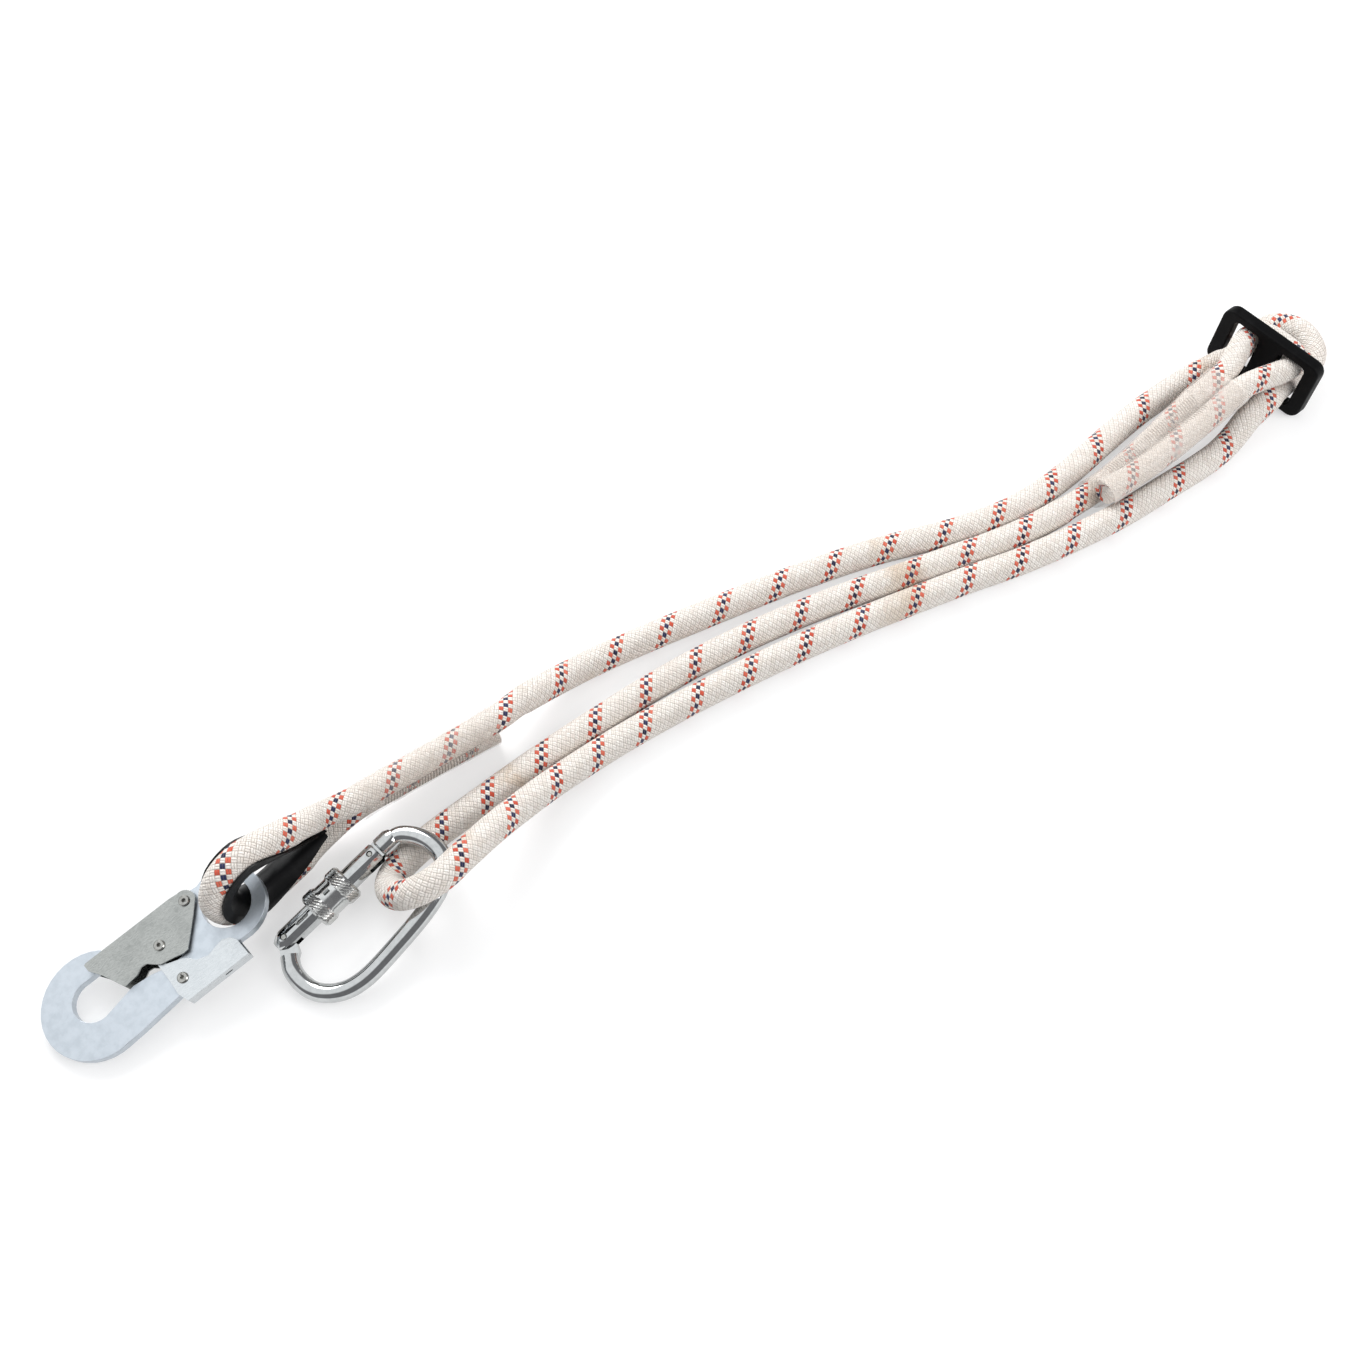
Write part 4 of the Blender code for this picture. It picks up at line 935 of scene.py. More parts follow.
    def make_rope(self, look: RopeLook, weave: bpy.types.NodeTree) -> bpy.types.Material:
        """Make the off-white braid with its orange and navy tracers, its stains, and painted shade where its
        weave lies low.

        Args:
            look: How it looks.
            weave: The braided sheath's group.

        Returns:
            The material.
        """
        material, graph, shader = self.open_material(Finish.ROPE)
        braid = graph.add("ShaderNodeGroup", node_tree=weave)
        cell = braid.outputs["Cell"]
        white = graph.mix(cell, *look.white_tones)
        soiled = self.patches(graph, look.soiled)
        spilt = self.patches(graph, look.spilt)
        run = graph.add("ShaderNodeSeparateXYZ")
        graph.feed(run.inputs[0], graph.add("ShaderNodeUVMap", uv_map="route").outputs["UV"])
        for centre in look.stain_places:
            away = graph.math("ABSOLUTE", graph.math("SUBTRACT", run.outputs["X"], centre))
            near = graph.remap(away, *look.stain_reach, 1.0, 0.0)
            soiled = graph.math("MAXIMUM", soiled, graph.math("MULTIPLY", near, spilt))
        white = graph.mix(graph.math("MULTIPLY", soiled, look.stain_share), white, look.stain)
        colour = graph.mix(braid.outputs["Orange"], white, graph.mix(cell, *look.orange_tones))
        colour = graph.mix(braid.outputs["Navy"], colour, graph.mix(cell, *look.navy_tones))
        # painted shade darkens the colour where the weave lies low
        crevice_shade = graph.math("MULTIPLY", braid.outputs["CreviceShade"], look.crevice_shade_share)
        graph.feed(shader.inputs["Base Color"], graph.mix(crevice_shade, colour, look.crevice_shade))
        place = graph.add("ShaderNodeTexCoord").outputs["Object"]
        normal = graph.bump(graph.noise(place, look.fuzz, 2.0), *look.fuzz_bump)
        graph.feed(shader.inputs["Normal"],
                   graph.bump(braid.outputs["Height"], *look.weave_bump, normal))
        shader.inputs["Roughness"].default_value = look.roughness
        shader.inputs["Specular IOR Level"].default_value = look.gloss
        shader.inputs["Sheen Weight"].default_value = look.sheen
        shader.inputs["Sheen Roughness"].default_value = look.sheen_roughness
        return material

    def make_film(self, finish: Finish, look: FilmLook) -> bpy.types.Material:
        """Make a heat-shrink film, hazy where it is scuffed.

        Args:
            finish: Its finish.
            look: How it looks.

        Returns:
            The material.
        """
        material, graph, shader = self.open_material(finish)
        haze = self.patches(graph, look.scuffs)
        graph.feed(shader.inputs["Base Color"], graph.mix(haze, *look.tones))
        graph.feed(shader.inputs["Alpha"], graph.remap(haze, 0.0, 1.0, *look.density))
        graph.feed(shader.inputs["Roughness"], graph.remap(haze, 0.0, 1.0, *look.roughness))
        place = graph.add("ShaderNodeTexCoord").outputs["Object"]
        wrinkles = graph.noise(place, look.wrinkles, 3.0)
        graph.feed(shader.inputs["Normal"], graph.bump(wrinkles, *look.wrinkle_bump))
        shader.inputs["IOR"].default_value = look.ior
        return material

    def make_thread(self, look: ThreadLook) -> bpy.types.Material:
        """Make the sewing thread, greyed with painted shade of its stitches.

        Args:
            look: How it looks.

        Returns:
            The material.
        """
        material, graph, shader = self.open_material(Finish.THREAD)
        place = graph.add("ShaderNodeTexCoord").outputs["Object"]
        ply = graph.noise(place, look.ply, 2.0)
        graph.feed(shader.inputs["Base Color"], graph.mix(ply, *look.tones))
        graph.feed(shader.inputs["Normal"], graph.bump(ply, *look.ply_bump))
        shader.inputs["Roughness"].default_value = look.roughness
        return material

    def make_metal(self, finish: Finish, look: MetalLook) -> bpy.types.Material:
        """Make one metal, duller in patches, faintly wavy and grained.

        Args:
            finish: Its finish.
            look: How it looks.

        Returns:
            The material.
        """
        material, graph, shader = self.open_material(finish)
        dull = self.patches(graph, look.dull)
        specks = self.patches(graph, look.specks)
        place = graph.add("ShaderNodeTexCoord").outputs["Object"]
        stretch = graph.add("ShaderNodeMapping")
        graph.feed(stretch.inputs["Vector"], place)
        stretch.inputs["Scale"].default_value = look.grain
        grain = graph.noise(stretch.outputs[0], 4.0, 3.0)
        shade = graph.math("ADD", graph.math("MULTIPLY", dull, look.patch_share),
                           graph.math("MULTIPLY", specks, look.patch_share))
        shade = graph.math("ADD", shade,
                           graph.remap(grain, *look.grain_range, 0.0, look.grain_share))
        graph.feed(shader.inputs["Base Color"], graph.mix(shade, look.colour, look.stain))
        graph.feed(shader.inputs["Roughness"],
                   graph.remap(shade, 0.0, 1.0, look.roughness - look.spread / 2,
                               look.roughness + look.spread))
        normal = graph.bump(graph.noise(place, look.wave_scale, 1.0), 1.0, look.waviness)
        graph.feed(shader.inputs["Normal"], graph.bump(grain, *look.grain_bump, normal))
        shader.inputs["Metallic"].default_value = 1.0
        return material

    def make_plastic(self, finish: Finish, look: PlasticLook) -> bpy.types.Material:
        """Make one moulded plastic with rubbed places.

        Args:
            finish: Its finish.
            look: How it looks.

        Returns:
            The material.
        """
        material, graph, shader = self.open_material(finish)
        rubbed = self.patches(graph, look.rubbed)
        graph.feed(shader.inputs["Base Color"], graph.mix(rubbed, look.colour, look.worn))
        graph.feed(shader.inputs["Roughness"],
                   graph.remap(rubbed, 0.0, 1.0, look.roughness,
                               look.roughness + look.rubbed_spread))
        place = graph.add("ShaderNodeTexCoord").outputs["Object"]
        graph.feed(shader.inputs["Normal"],
                   graph.bump(graph.noise(place, look.grain, 2.0), *look.grain_bump))
        shader.inputs["Specular IOR Level"].default_value = look.gloss
        return material


@dataclass(frozen=True)
class ThimbleEye:
    """The eye that the rope makes round the thimble.

    Attributes:
        centre: The middle of its bend, as laid out.
        heading: Its turn about +Z.
        pitch: The rise of its mouth.
        lean: How far it leans over from standing on its edge.
        bend_r: The radius of the rope's middle in the bend.
        sag: How much wider the bend lies than its groove.
        tip: Where the legs meet, ahead of and beside the bend's middle.
        arc_degrees: Where the bend's places are, with the tangents to both legs at its ends.
        leg_shares: Where the legs' places are.
        leave_shares: How far the lower leg's first places lie aside and out, in rope radii.
    """

    centre: Point = (-0.2530, 0.0165, 0.0293)
    heading: float = math.radians(10.0)
    pitch: float = math.radians(-9.0)
    lean: float = math.radians(-4.0)
    bend_r: float = 0.0205
    sag: float = 0.00055
    tip: Pair = (0.0440, 0.0102)
    arc_degrees: Sequence[float] = (-75, -105, -140, -180, 140, 105, 75)
    leg_shares: Sequence[float] = (0.0, 0.33, 0.67, 1.0)
    leave_shares: Sequence[Pair] = ((0.25, 0.11), (0.08, 0.07))

    def places(self, rope_r: float) -> list[Vector]:
        """Return the rope's way round the thimble.

        Args:
            rope_r: The rope's radius.

        Returns:
            The places, lower tip to upper tip.
        """
        turn = pose(on_floor(self.centre), self.heading, self.pitch, math.pi / 2 + self.lean)
        radius = self.bend_r + self.sag / 2
        tangent = radius * math.cos(math.radians(self.arc_degrees[-1]))
        rise = radius * math.sin(math.radians(self.arc_degrees[-1]))
        upper = [(tangent + (self.tip[0] - tangent) * share, rise + (self.tip[1] - rise) * share)
                 for share in self.leg_shares]
        lower = [(x, -y) for x, y in upper[::-1]]
        bend = [(radius * math.cos(math.radians(angle)), radius * math.sin(math.radians(angle)))
                for angle in self.arc_degrees[1:-1]]
        line = lower + bend + upper
        leave = list(self.leave_shares) + [(0.0, 0.0)] * (len(line) - len(self.leave_shares))
        return [turn @ Vector((x, y - rope_r * out, -rope_r * aside))
                for (x, y), (aside, out) in zip(line, leave)]


@dataclass(frozen=True)
class SliderFrame:
    """The slider's frame, as the rope goes through it.

    Attributes:
        thickness: How deep its windows are.
        height: Its height.
        bar_w: The width of its middle bar.
        edge_r: The radius of its edges.
        foot: Where it stands, as laid out.
        heading: Its turn about +Z.
        lean: How far it leans back.
        wrap_height: How high up the middle bar the sewn eye lies.
        corner_gap: The room between the bar's edge and the rope.
        corner_steps: The chords of the rope's way round one corner.
        through: The other run's way through both windows, in the frame's own directions.
    """

    thickness: float = 0.0085
    height: float = 0.0410
    bar_w: float = 0.0150
    edge_r: float = 0.0015
    foot: Pair = (0.4185, -0.0250)
    heading: float = math.radians(7.0)
    lean: float = math.radians(6.0)
    wrap_height: float = 0.0069
    corner_gap: float = 0.0010
    corner_steps: int = 3
    through: Sequence[Point] = (
        (-0.0300, 0.0228, -0.0104), (-0.0080, 0.0184, -0.0077), (0.0080, 0.0178, -0.0070),
        (0.0230, 0.0186, -0.0044), (0.0320, 0.0142, -0.0002), (0.0370, 0.0000, 0.0022),
        (0.0320, -0.0142, -0.0002), (0.0230, -0.0186, -0.0044), (0.0080, -0.0178, -0.0070),
        (-0.0080, -0.0183, -0.0077), (-0.0300, -0.0192, -0.0104))

    def stand(self) -> Matrix:
        """Stand the frame on the floor.

        Returns:
            Its own directions, from its middle.
        """
        reach = (self.height / 2 * math.cos(self.lean)
                 + self.thickness / 2 * abs(math.sin(self.lean)))
        return pose(on_floor((*self.foot, reach)), self.heading, -self.lean, 0.0)

    def pass_places(self) -> list[Vector]:
        """Return the way of the run that goes through both windows."""
        return [self.stand() @ Vector(place) for place in self.through]

    def wrap_places(self, sewn_r: float) -> list[Vector]:
        """Return the sewn eye's way round the middle bar.

        Args:
            sewn_r: The sewn rope's radius.

        Returns:
            The places in order.
        """
        corner = self.edge_r + sewn_r + self.corner_gap
        ahead = self.thickness / 2 - self.edge_r
        aside = self.bar_w / 2 - self.edge_r
        leg = [(-self.thickness / 2, aside + corner)]
        for step in range(self.corner_steps + 1):
            angle = math.pi / 2 * (1 - step / self.corner_steps)
            leg.append((ahead + corner * math.cos(angle), aside + corner * math.sin(angle)))
        return [self.stand() @ Vector((x, y, self.wrap_height))
                for x, y in leg + [(x, -y) for x, y in leg[::-1]]]


@dataclass(frozen=True)
class RopeLayout:
    """The rope's way between its fittings, tail to tail, as laid out.

    Attributes:
        hook_tail: The tail that is sewn in at the hook.
        hook_main: The run that it is sewn to.
        upper: The strand from the hook to the slider.
        lower: The strand from the slider to the carabiner.
        bight: The turn through the carabiner.
        middle: The strand from the carabiner back to the slider.
        slider_main: The run that the slider's eye is sewn from.
        slider_tail: The tail that is sewn in at the slider.
        twists: How far the braid is turned, in whole turns, at running lengths.
    """

    hook_tail: Sequence[Point] = (
        (-0.1040, 0.0291, 0.0086), (-0.1350, 0.0298, 0.0098), (-0.1640, 0.0292, 0.0126),
        (-0.1900, 0.0274, 0.0164))
    hook_main: Sequence[Point] = (
        (-0.1900, 0.0235, 0.0316), (-0.1640, 0.0250, 0.0279), (-0.1350, 0.0263, 0.0249),
        (-0.1040, 0.0270, 0.0237))
    upper: Sequence[Point] = (
        (-0.0870, 0.0304, 0.0205), (-0.0710, 0.0332, 0.0152), (-0.0540, 0.0350, 0.0105),
        (-0.0360, 0.0350, 0.0083), (-0.0050, 0.0314, 0.0081), (0.0300, 0.0261, 0.0081),
        (0.0680, 0.0200, 0.0081), (0.1050, 0.0130, 0.0081), (0.1400, 0.0046, 0.0081),
        (0.1760, -0.0069, 0.0081), (0.2050, -0.0145, 0.0081), (0.2340, -0.0180, 0.0081),
        (0.2660, -0.0162, 0.0081), (0.3010, -0.0105, 0.0081), (0.3300, -0.0060, 0.0082),
        (0.3560, -0.0042, 0.0092), (0.3790, -0.0054, 0.0130))
    lower: Sequence[Point] = (
        (0.3830, -0.0492, 0.0132), (0.3640, -0.0542, 0.0094), (0.3440, -0.0566, 0.0081),
        (0.3100, -0.0568, 0.0081), (0.2750, -0.0566, 0.0081), (0.2400, -0.0534, 0.0081),
        (0.2060, -0.0486, 0.0081), (0.1720, -0.0412, 0.0081), (0.1350, -0.0340, 0.0081),
        (0.1000, -0.0278, 0.0081), (0.0650, -0.0228, 0.0081), (0.0300, -0.0190, 0.0081),
        (-0.0100, -0.0158, 0.0081), (-0.0450, -0.0146, 0.0084), (-0.0720, -0.0156, 0.0100),
        (-0.0980, -0.0188, 0.0146), (-0.1190, -0.0234, 0.0202))
    bight: Sequence[Point] = (
        (-0.1380, -0.0288, 0.0266), (-0.1570, -0.0350, 0.0320), (-0.1750, -0.0398, 0.0338),
        (-0.1885, -0.0374, 0.0291), (-0.1960, -0.0295, 0.0196), (-0.1965, -0.0210, 0.0130),
        (-0.1910, -0.0142, 0.0097), (-0.1810, -0.0100, 0.0083), (-0.1690, -0.0073, 0.0081),
        (-0.1560, -0.0055, 0.0081), (-0.1400, -0.0040, 0.0081))
    middle: Sequence[Point] = (
        (-0.1150, -0.0016, 0.0081), (-0.0870, 0.0006, 0.0081), (-0.0540, 0.0022, 0.0081),
        (-0.0200, 0.0030, 0.0081), (0.0130, 0.0022, 0.0081), (0.0450, -0.0004, 0.0081),
        (0.0770, -0.0047, 0.0081), (0.1110, -0.0110, 0.0081), (0.1400, -0.0174, 0.0081),
        (0.1720, -0.0242, 0.0081), (0.2040, -0.0310, 0.0082), (0.2330, -0.0348, 0.0088))
    slider_main: Sequence[Point] = (
        (0.2680, -0.0356, 0.0100), (0.2980, -0.0328, 0.0116), (0.3280, -0.0287, 0.0168),
        (0.3580, -0.0243, 0.0230), (0.3860, -0.0214, 0.0286))
    slider_tail: Sequence[Point] = (
        (0.2680, -0.0452, 0.0222), (0.2980, -0.0447, 0.0219), (0.3280, -0.0427, 0.0238),
        (0.3580, -0.0399, 0.0270), (0.3860, -0.0372, 0.0302))
    twists: Sequence[Pair] = (
        (0.000, -0.10), (0.208, -0.16), (0.243, -0.15), (0.273, 0.03), (0.306, 0.10),
        (0.342, 0.11), (0.375, 0.18), (0.415, 0.06), (0.453, 0.01), (0.485, 0.14), (0.556, 0.16),
        (0.625, 0.23), (0.694, 0.31), (0.734, 0.22), (0.776, 0.07), (0.820, -0.16), (0.862, -0.33),
        (0.893, -0.21), (1.019, -0.59), (1.063, -0.82), (1.105, -0.96), (1.147, -1.12),
        (1.185, -1.17), (1.221, -1.15), (1.288, -1.02), (1.395, -0.99), (1.462, -0.86),
        (1.493, -0.73), (1.523, -0.55), (1.556, -0.49), (1.594, -0.54), (1.631, -0.64),
        (1.690, -0.56), (1.719, -0.38), (1.790, -0.36), (1.891, -0.16), (1.960, -0.08),
        (2.031, -0.06), (2.069, -0.10), (2.111, -0.26), (2.153, -0.41), (2.190, -0.45),
        (2.230, -0.56), (2.272, -0.71), (2.478, -0.80))

    def runs(self, eye: ThimbleEye, slider: SliderFrame, rope_r: float, sewn_r: float
             ) -> dict[str, list[Vector]]:
        """Return the whole way in runs, with the fittings' own runs in their places.

        Args:
            eye: The eye at the hook.
            slider: The slider.
            rope_r: The rope's radius.
            sewn_r: The sewn rope's radius.

        Returns:
            Each run's places, by its name, in the rope's order.
        """
        return {
            "hook_tail": [on_floor(point) for point in self.hook_tail],
            "hook_eye": eye.places(rope_r),
            "hook_main": [on_floor(point) for point in self.hook_main],
            "upper": [on_floor(point) for point in self.upper],
            "pass": slider.pass_places(),
            "lower": [on_floor(point) for point in self.lower],
            "bight": [on_floor(point) for point in self.bight],
            "middle": [on_floor(point) for point in self.middle],
            "slider_main": [on_floor(point) for point in self.slider_main],
            "wrap": slider.wrap_places(sewn_r),
            "slider_tail": [on_floor(point) for point in self.slider_tail[::-1]],
        }


@dataclass(frozen=True)
class Squeeze:
    """A run of the rope that is drawn in.

    Attributes:
        start: The running length where it begins.
        end: The running length where it ends.
        share: The share of the diameter that is left.
    """

    start: float
    end: float
    share: float


@dataclass(frozen=True)
class GatePush:
    """How the carabiner's opening gate pushes in the bight's inner turn.

    Attributes:
        start_x: The +X place below which the rope is pushed.
        direction: The direction along which it flattens.
        keep: The share of its depth that is left; not used.
        tuck: How far the rope reaches into the turn from both sides, hidden at rest.
        tuck_most: The share of that reach past which its dome narrows no more.
        dome: How square the dome's section is.
    """

    start_x: float = -0.205
    direction: Point = (0.643, 0.486, 0.592)
    keep: float = 0.38
    tuck: float = 0.0085
    tuck_most: float = 0.97
    dome: float = 3.0


@dataclass
class Rope:
    """The whole rope on its route, with what draws it in.

    Attributes:
        diameter: Its free diameter.
        sewn_share: The share of the diameter that is left where it is sewn.
        window_share: The share that is left in the slider's windows.
        ease_length: How far a squeeze takes to come and to go.
        ring_step: The greatest distance between two rings.
        ring_sides: The sides of a ring.
        cap_share: The share of an end's width that its dished middle takes.
        smooth_angle: The angle in degrees up to which it is shaded smooth.
        layout: Its way between the fittings.
        eye: Its eye at the hook.
        slider: The slider that it goes through.
        push: What the carabiner's gate does to it.
    """

    diameter: float = 0.016
    sewn_share: float = 0.91
    window_share: float = 0.86
    ease_length: float = 0.006
    ring_step: float = 0.0021
    ring_sides: int = 32
    cap_share: float = 0.86
    smooth_angle: float = 60.0
    layout: RopeLayout = RopeLayout()
    eye: ThimbleEye = ThimbleEye()
    slider: SliderFrame = SliderFrame()
    push: GatePush = GatePush()

    def __post_init__(self) -> None:
        """Lay the rope."""
        self.free_r = self.diameter / 2
        self.sewn_r = self.free_r * self.sewn_share
        self.first: dict[str, float] = {}
        self.last: dict[str, float] = {}
        self.windows: list[Pair] = []
        self.route = self.lay()
        self.squeezes = self.find_squeezes()
        self.turn = self.find_turn()
        self.stations = self.find_stations()

    def lay(self) -> Route:
        """Lay the route and note where each run and each window begins and ends.

        Returns:
            The route.
        """
        points = []
        marks = {}
        for name, run in self.layout.runs(self.eye, self.slider, self.free_r,
                                          self.sewn_r).items():
            marks[name] = (len(points), len(points) + len(run) - 1)
            points += run
        route = Route(points)
        self.first = {name: route.length_at(start) for name, (start, _) in marks.items()}
        self.last = {name: route.length_at(end) for name, (_, end) in marks.items()}
        for run, inset in (("pass", 1), ("wrap", 0)):
            low, high = marks[run]
            for index in (low + inset, high - inset - 1):
                self.windows.append((route.length_at(index), route.length_at(index + 1)))
        return route

    def find_squeezes(self) -> list[Squeeze]:
        """Find every run that the stitching or a window draws in.

        Returns:
            The runs.
        """
        first, last = self.first, self.last
        reach = self.diameter
        sewn = [(first["hook_tail"], last["hook_tail"] + reach * 2),
                (first["hook_main"] - reach * 2, last["hook_main"] + reach),
                (first["slider_main"] - reach, last["slider_tail"])]
        return ([Squeeze(start, end, self.sewn_share) for start, end in sewn]
                + [Squeeze(start, end, self.window_share) for start, end in self.windows])

    def find_turn(self) -> Pair:
        """Find the part of the bight that the carabiner's gate pushes in as it opens.

        Returns:
            The running lengths where it begins and ends.
        """
        start, end = self.first["bight"], self.last["bight"]
        count = math.ceil((end - start) / self.ring_step)
        lengths = [start + (end - start) * index / count for index in range(count + 1)]
        inner = [length for length in lengths if self.route.at(length).x <= self.push.start_x]
        return inner[0], inner[-1]

    def radius_at(self, length: float) -> float:
        """Return the rope's radius at a running length.

        Args:
            length: The length from the start.

        Returns:
            The radius.
        """
        share = 1.0
        for run in self.squeezes:
            enter = ease((length - run.start + self.ease_length) / self.ease_length)
            leave = ease((run.end + self.ease_length - length) / self.ease_length)
            share = min(share, 1.0 - (1.0 - run.share) * enter * leave)
        return self.free_r * share

    def tucked_share(self, length: float) -> float:
        """Return how wide the hidden domes inside the turn are, as a share of the rope.

        Args:
            length: The length from the start.

        Returns:
            The share, 1 outside the turn.
        """
        depth = min(length - self.turn[0], self.turn[1] - length)
        if depth <= 0:
            return 1.0
        along = min(depth / self.push.tuck, self.push.tuck_most)
        return (1 - along ** self.push.dome) ** (1 / self.push.dome)

    def twist_at(self, length: float) -> float:
        """Return how far the braid is turned from its even lay at a running length.

        Args:
            length: The length from the start.

        Returns:
            The turn, in whole turns.
        """
        knots = self.layout.twists
        upper = bisect.bisect_right(knots, length, key=lambda knot: knot[0])
        upper = min(max(upper, 1), len(knots) - 1)
        (start, before), (end, after) = knots[upper - 1], knots[upper]
        return before + (after - before) * ease((length - start) / (end - start))

    def find_stations(self) -> list[tuple[float, Vector, Vector, Vector]]:
        """Find close stations along the whole rope with no twist between them.

        Returns:
            For each, its running length, place, side and up.
        """
        cuts = [0.0, *self.turn, self.route.lengths[-1]]
        lengths = []
        for start, end in zip(cuts, cuts[1:]):
            count = math.ceil((end - start) / self.ring_step)
            lengths += [start + (end - start) * index / count for index in range(count)]
        lengths.append(cuts[-1])
        side = None
        stations = []
        for length in lengths:
            tangent = self.route.direction(length)
            if side is None:
                side = Vector((0, 0, 1)).cross(tangent).normalized()
            side = (side - tangent * side.dot(tangent)).normalized()
            stations.append((length, self.route.at(length), side, tangent.cross(side)))
        return stations

    def tube(self, name: str, start: float, end: float, tucked: bool) -> bpy.types.Mesh:
        """Sweep one piece of the rope with its route coordinates.

        Args:
            name: The mesh's name.
            start: The running length where it begins.
            end: The running length where it ends.
            tucked: Whether its ends are closed, and domed inside the turn.

        Returns:
            The mesh.
        """
        close = self.ring_step / 100
        stations = [item for item in self.stations if start - close <= item[0] <= end + close]
        bm = bmesh.new()
        layer = bm.loops.layers.uv.new("route")
        rings = []
        for length, place, side, up in stations:
            radius = self.radius_at(length)
            if tucked:
                radius *= self.tucked_share(length)
            ring = []
            for index in range(self.ring_sides):
                angle = 2 * math.pi * index / self.ring_sides
                ring.append(bm.verts.new(place + side * (radius * math.cos(angle))
                                         + up * (radius * math.sin(angle))))
            rings.append(ring)
        for near, far, low, high in zip(rings, rings[1:], stations, stations[1:]):
            self.wrap_band(bm, layer, (near, far), (low[0], high[0]))
        if tucked:
            self.close_end(bm, layer, rings[0], stations[0])
            self.close_end(bm, layer, rings[-1], stations[-1])
        return smooth_mesh(name, bm, self.smooth_angle)

    def wrap_band(self, bm: bmesh.types.BMesh, layer: object,
                  rings: Sequence[Sequence[bmesh.types.BMVert]], lengths: Pair) -> None:
        """Join two rings with faces that know their place on the route.

        Args:
            bm: The rope's shape.
            layer: Its route coordinates.
            rings: The nearer and the farther ring.
            lengths: Their running lengths.
        """
        near, far = rings
        low, high = lengths
        low_twist, high_twist = self.twist_at(low), self.twist_at(high)
        for index in range(self.ring_sides):
            after = (index + 1) % self.ring_sides
            face = bm.faces.new((near[index], near[after], far[after], far[index]))
            here, there = index / self.ring_sides, (index + 1) / self.ring_sides
            spots = ((low, here + low_twist), (low, there + low_twist),
                     (high, there + high_twist), (high, here + high_twist))
            for loop, spot in zip(face.loops, spots):
                loop[layer].uv = spot

    def close_end(self, bm: bmesh.types.BMesh, layer: object,
                  ring: Sequence[bmesh.types.BMVert],
                  station: tuple[float, Vector, Vector, Vector]) -> None:
        """Close a cut and fused rope end with a shallow dished cap.

        Args:
            bm: The rope's shape.
            layer: Its route coordinates.
            ring: The last ring.
            station: Where the ring is.
        """
        length, place, side, up = station
        inner = [bm.verts.new(place.lerp(vert.co, self.cap_share)) for vert in ring]
        faces = []
        for index in range(self.ring_sides):
            after = (index + 1) % self.ring_sides
            faces.append(bm.faces.new((ring[index], ring[after], inner[after], inner[index])))
        faces.append(bm.faces.new(inner))
        for face in faces:
            for loop in face.loops:
                offset = loop.vert.co - place
                turn = math.atan2(offset.dot(up), offset.dot(side)) / (2 * math.pi) % 1.0
                loop[layer].uv = (length, turn + self.twist_at(length))

    def places(self, start: float, end: float) -> list[Vector]:
        """Return the stations' places between two running lengths.

        Args:
            start: The first length.
            end: The last length.

        Returns:
            The places in order.
        """
        return [place for length, place, _, _ in self.stations if start <= length <= end]

    def dress(self, finishes: Finishes) -> None:
        """Make the rope's three pieces.

        Args:
            finishes: The materials.
        """
        start, end = self.turn
        total = self.route.lengths[-1]
        turn = self.pushed_turn(finishes)
        runs = [("rope_hook_side", (0.0, start), (0.0, start + self.push.tuck), (turn,),
                 ("rope_hook_eye", "rope_upper_strand", "rope_slider_bight",
                  "rope_lower_strand")),
                ("rope_slider_side", (end, total), (end - self.push.tuck, total), (),
                 ("rope_middle_strand", "rope_slider_eye"))]
        for name, seen, made, carried, nodes in runs:
            mesh = self.tube(name, *made, tucked=True)
            piece = link_piece(name, mesh, finishes[Finish.ROPE], Body.LANYARD)
            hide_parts(*nodes)

    def pushed_turn(self, finishes: Finishes) -> bpy.types.Object:
        """Make the inner turn at the carabiner, which its gate pushes in as it opens.

        Args:
            finishes: The materials.

        Returns:
            The piece, too short to be a cord of its own.
        """
        mesh = self.tube("rope_carabiner_turn", *self.turn, tucked=False)
        piece = link_piece("rope_carabiner_turn", mesh, finishes[Finish.ROPE], Body.LANYARD)
        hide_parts("rope_carabiner_bight")
        places = self.places(*self.turn)
        span = (places[-1] - places[0]).normalized()
        push = Vector(self.push.direction)
        push = (push - span * push.dot(span)).normalized()
        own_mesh(piece)
        return piece


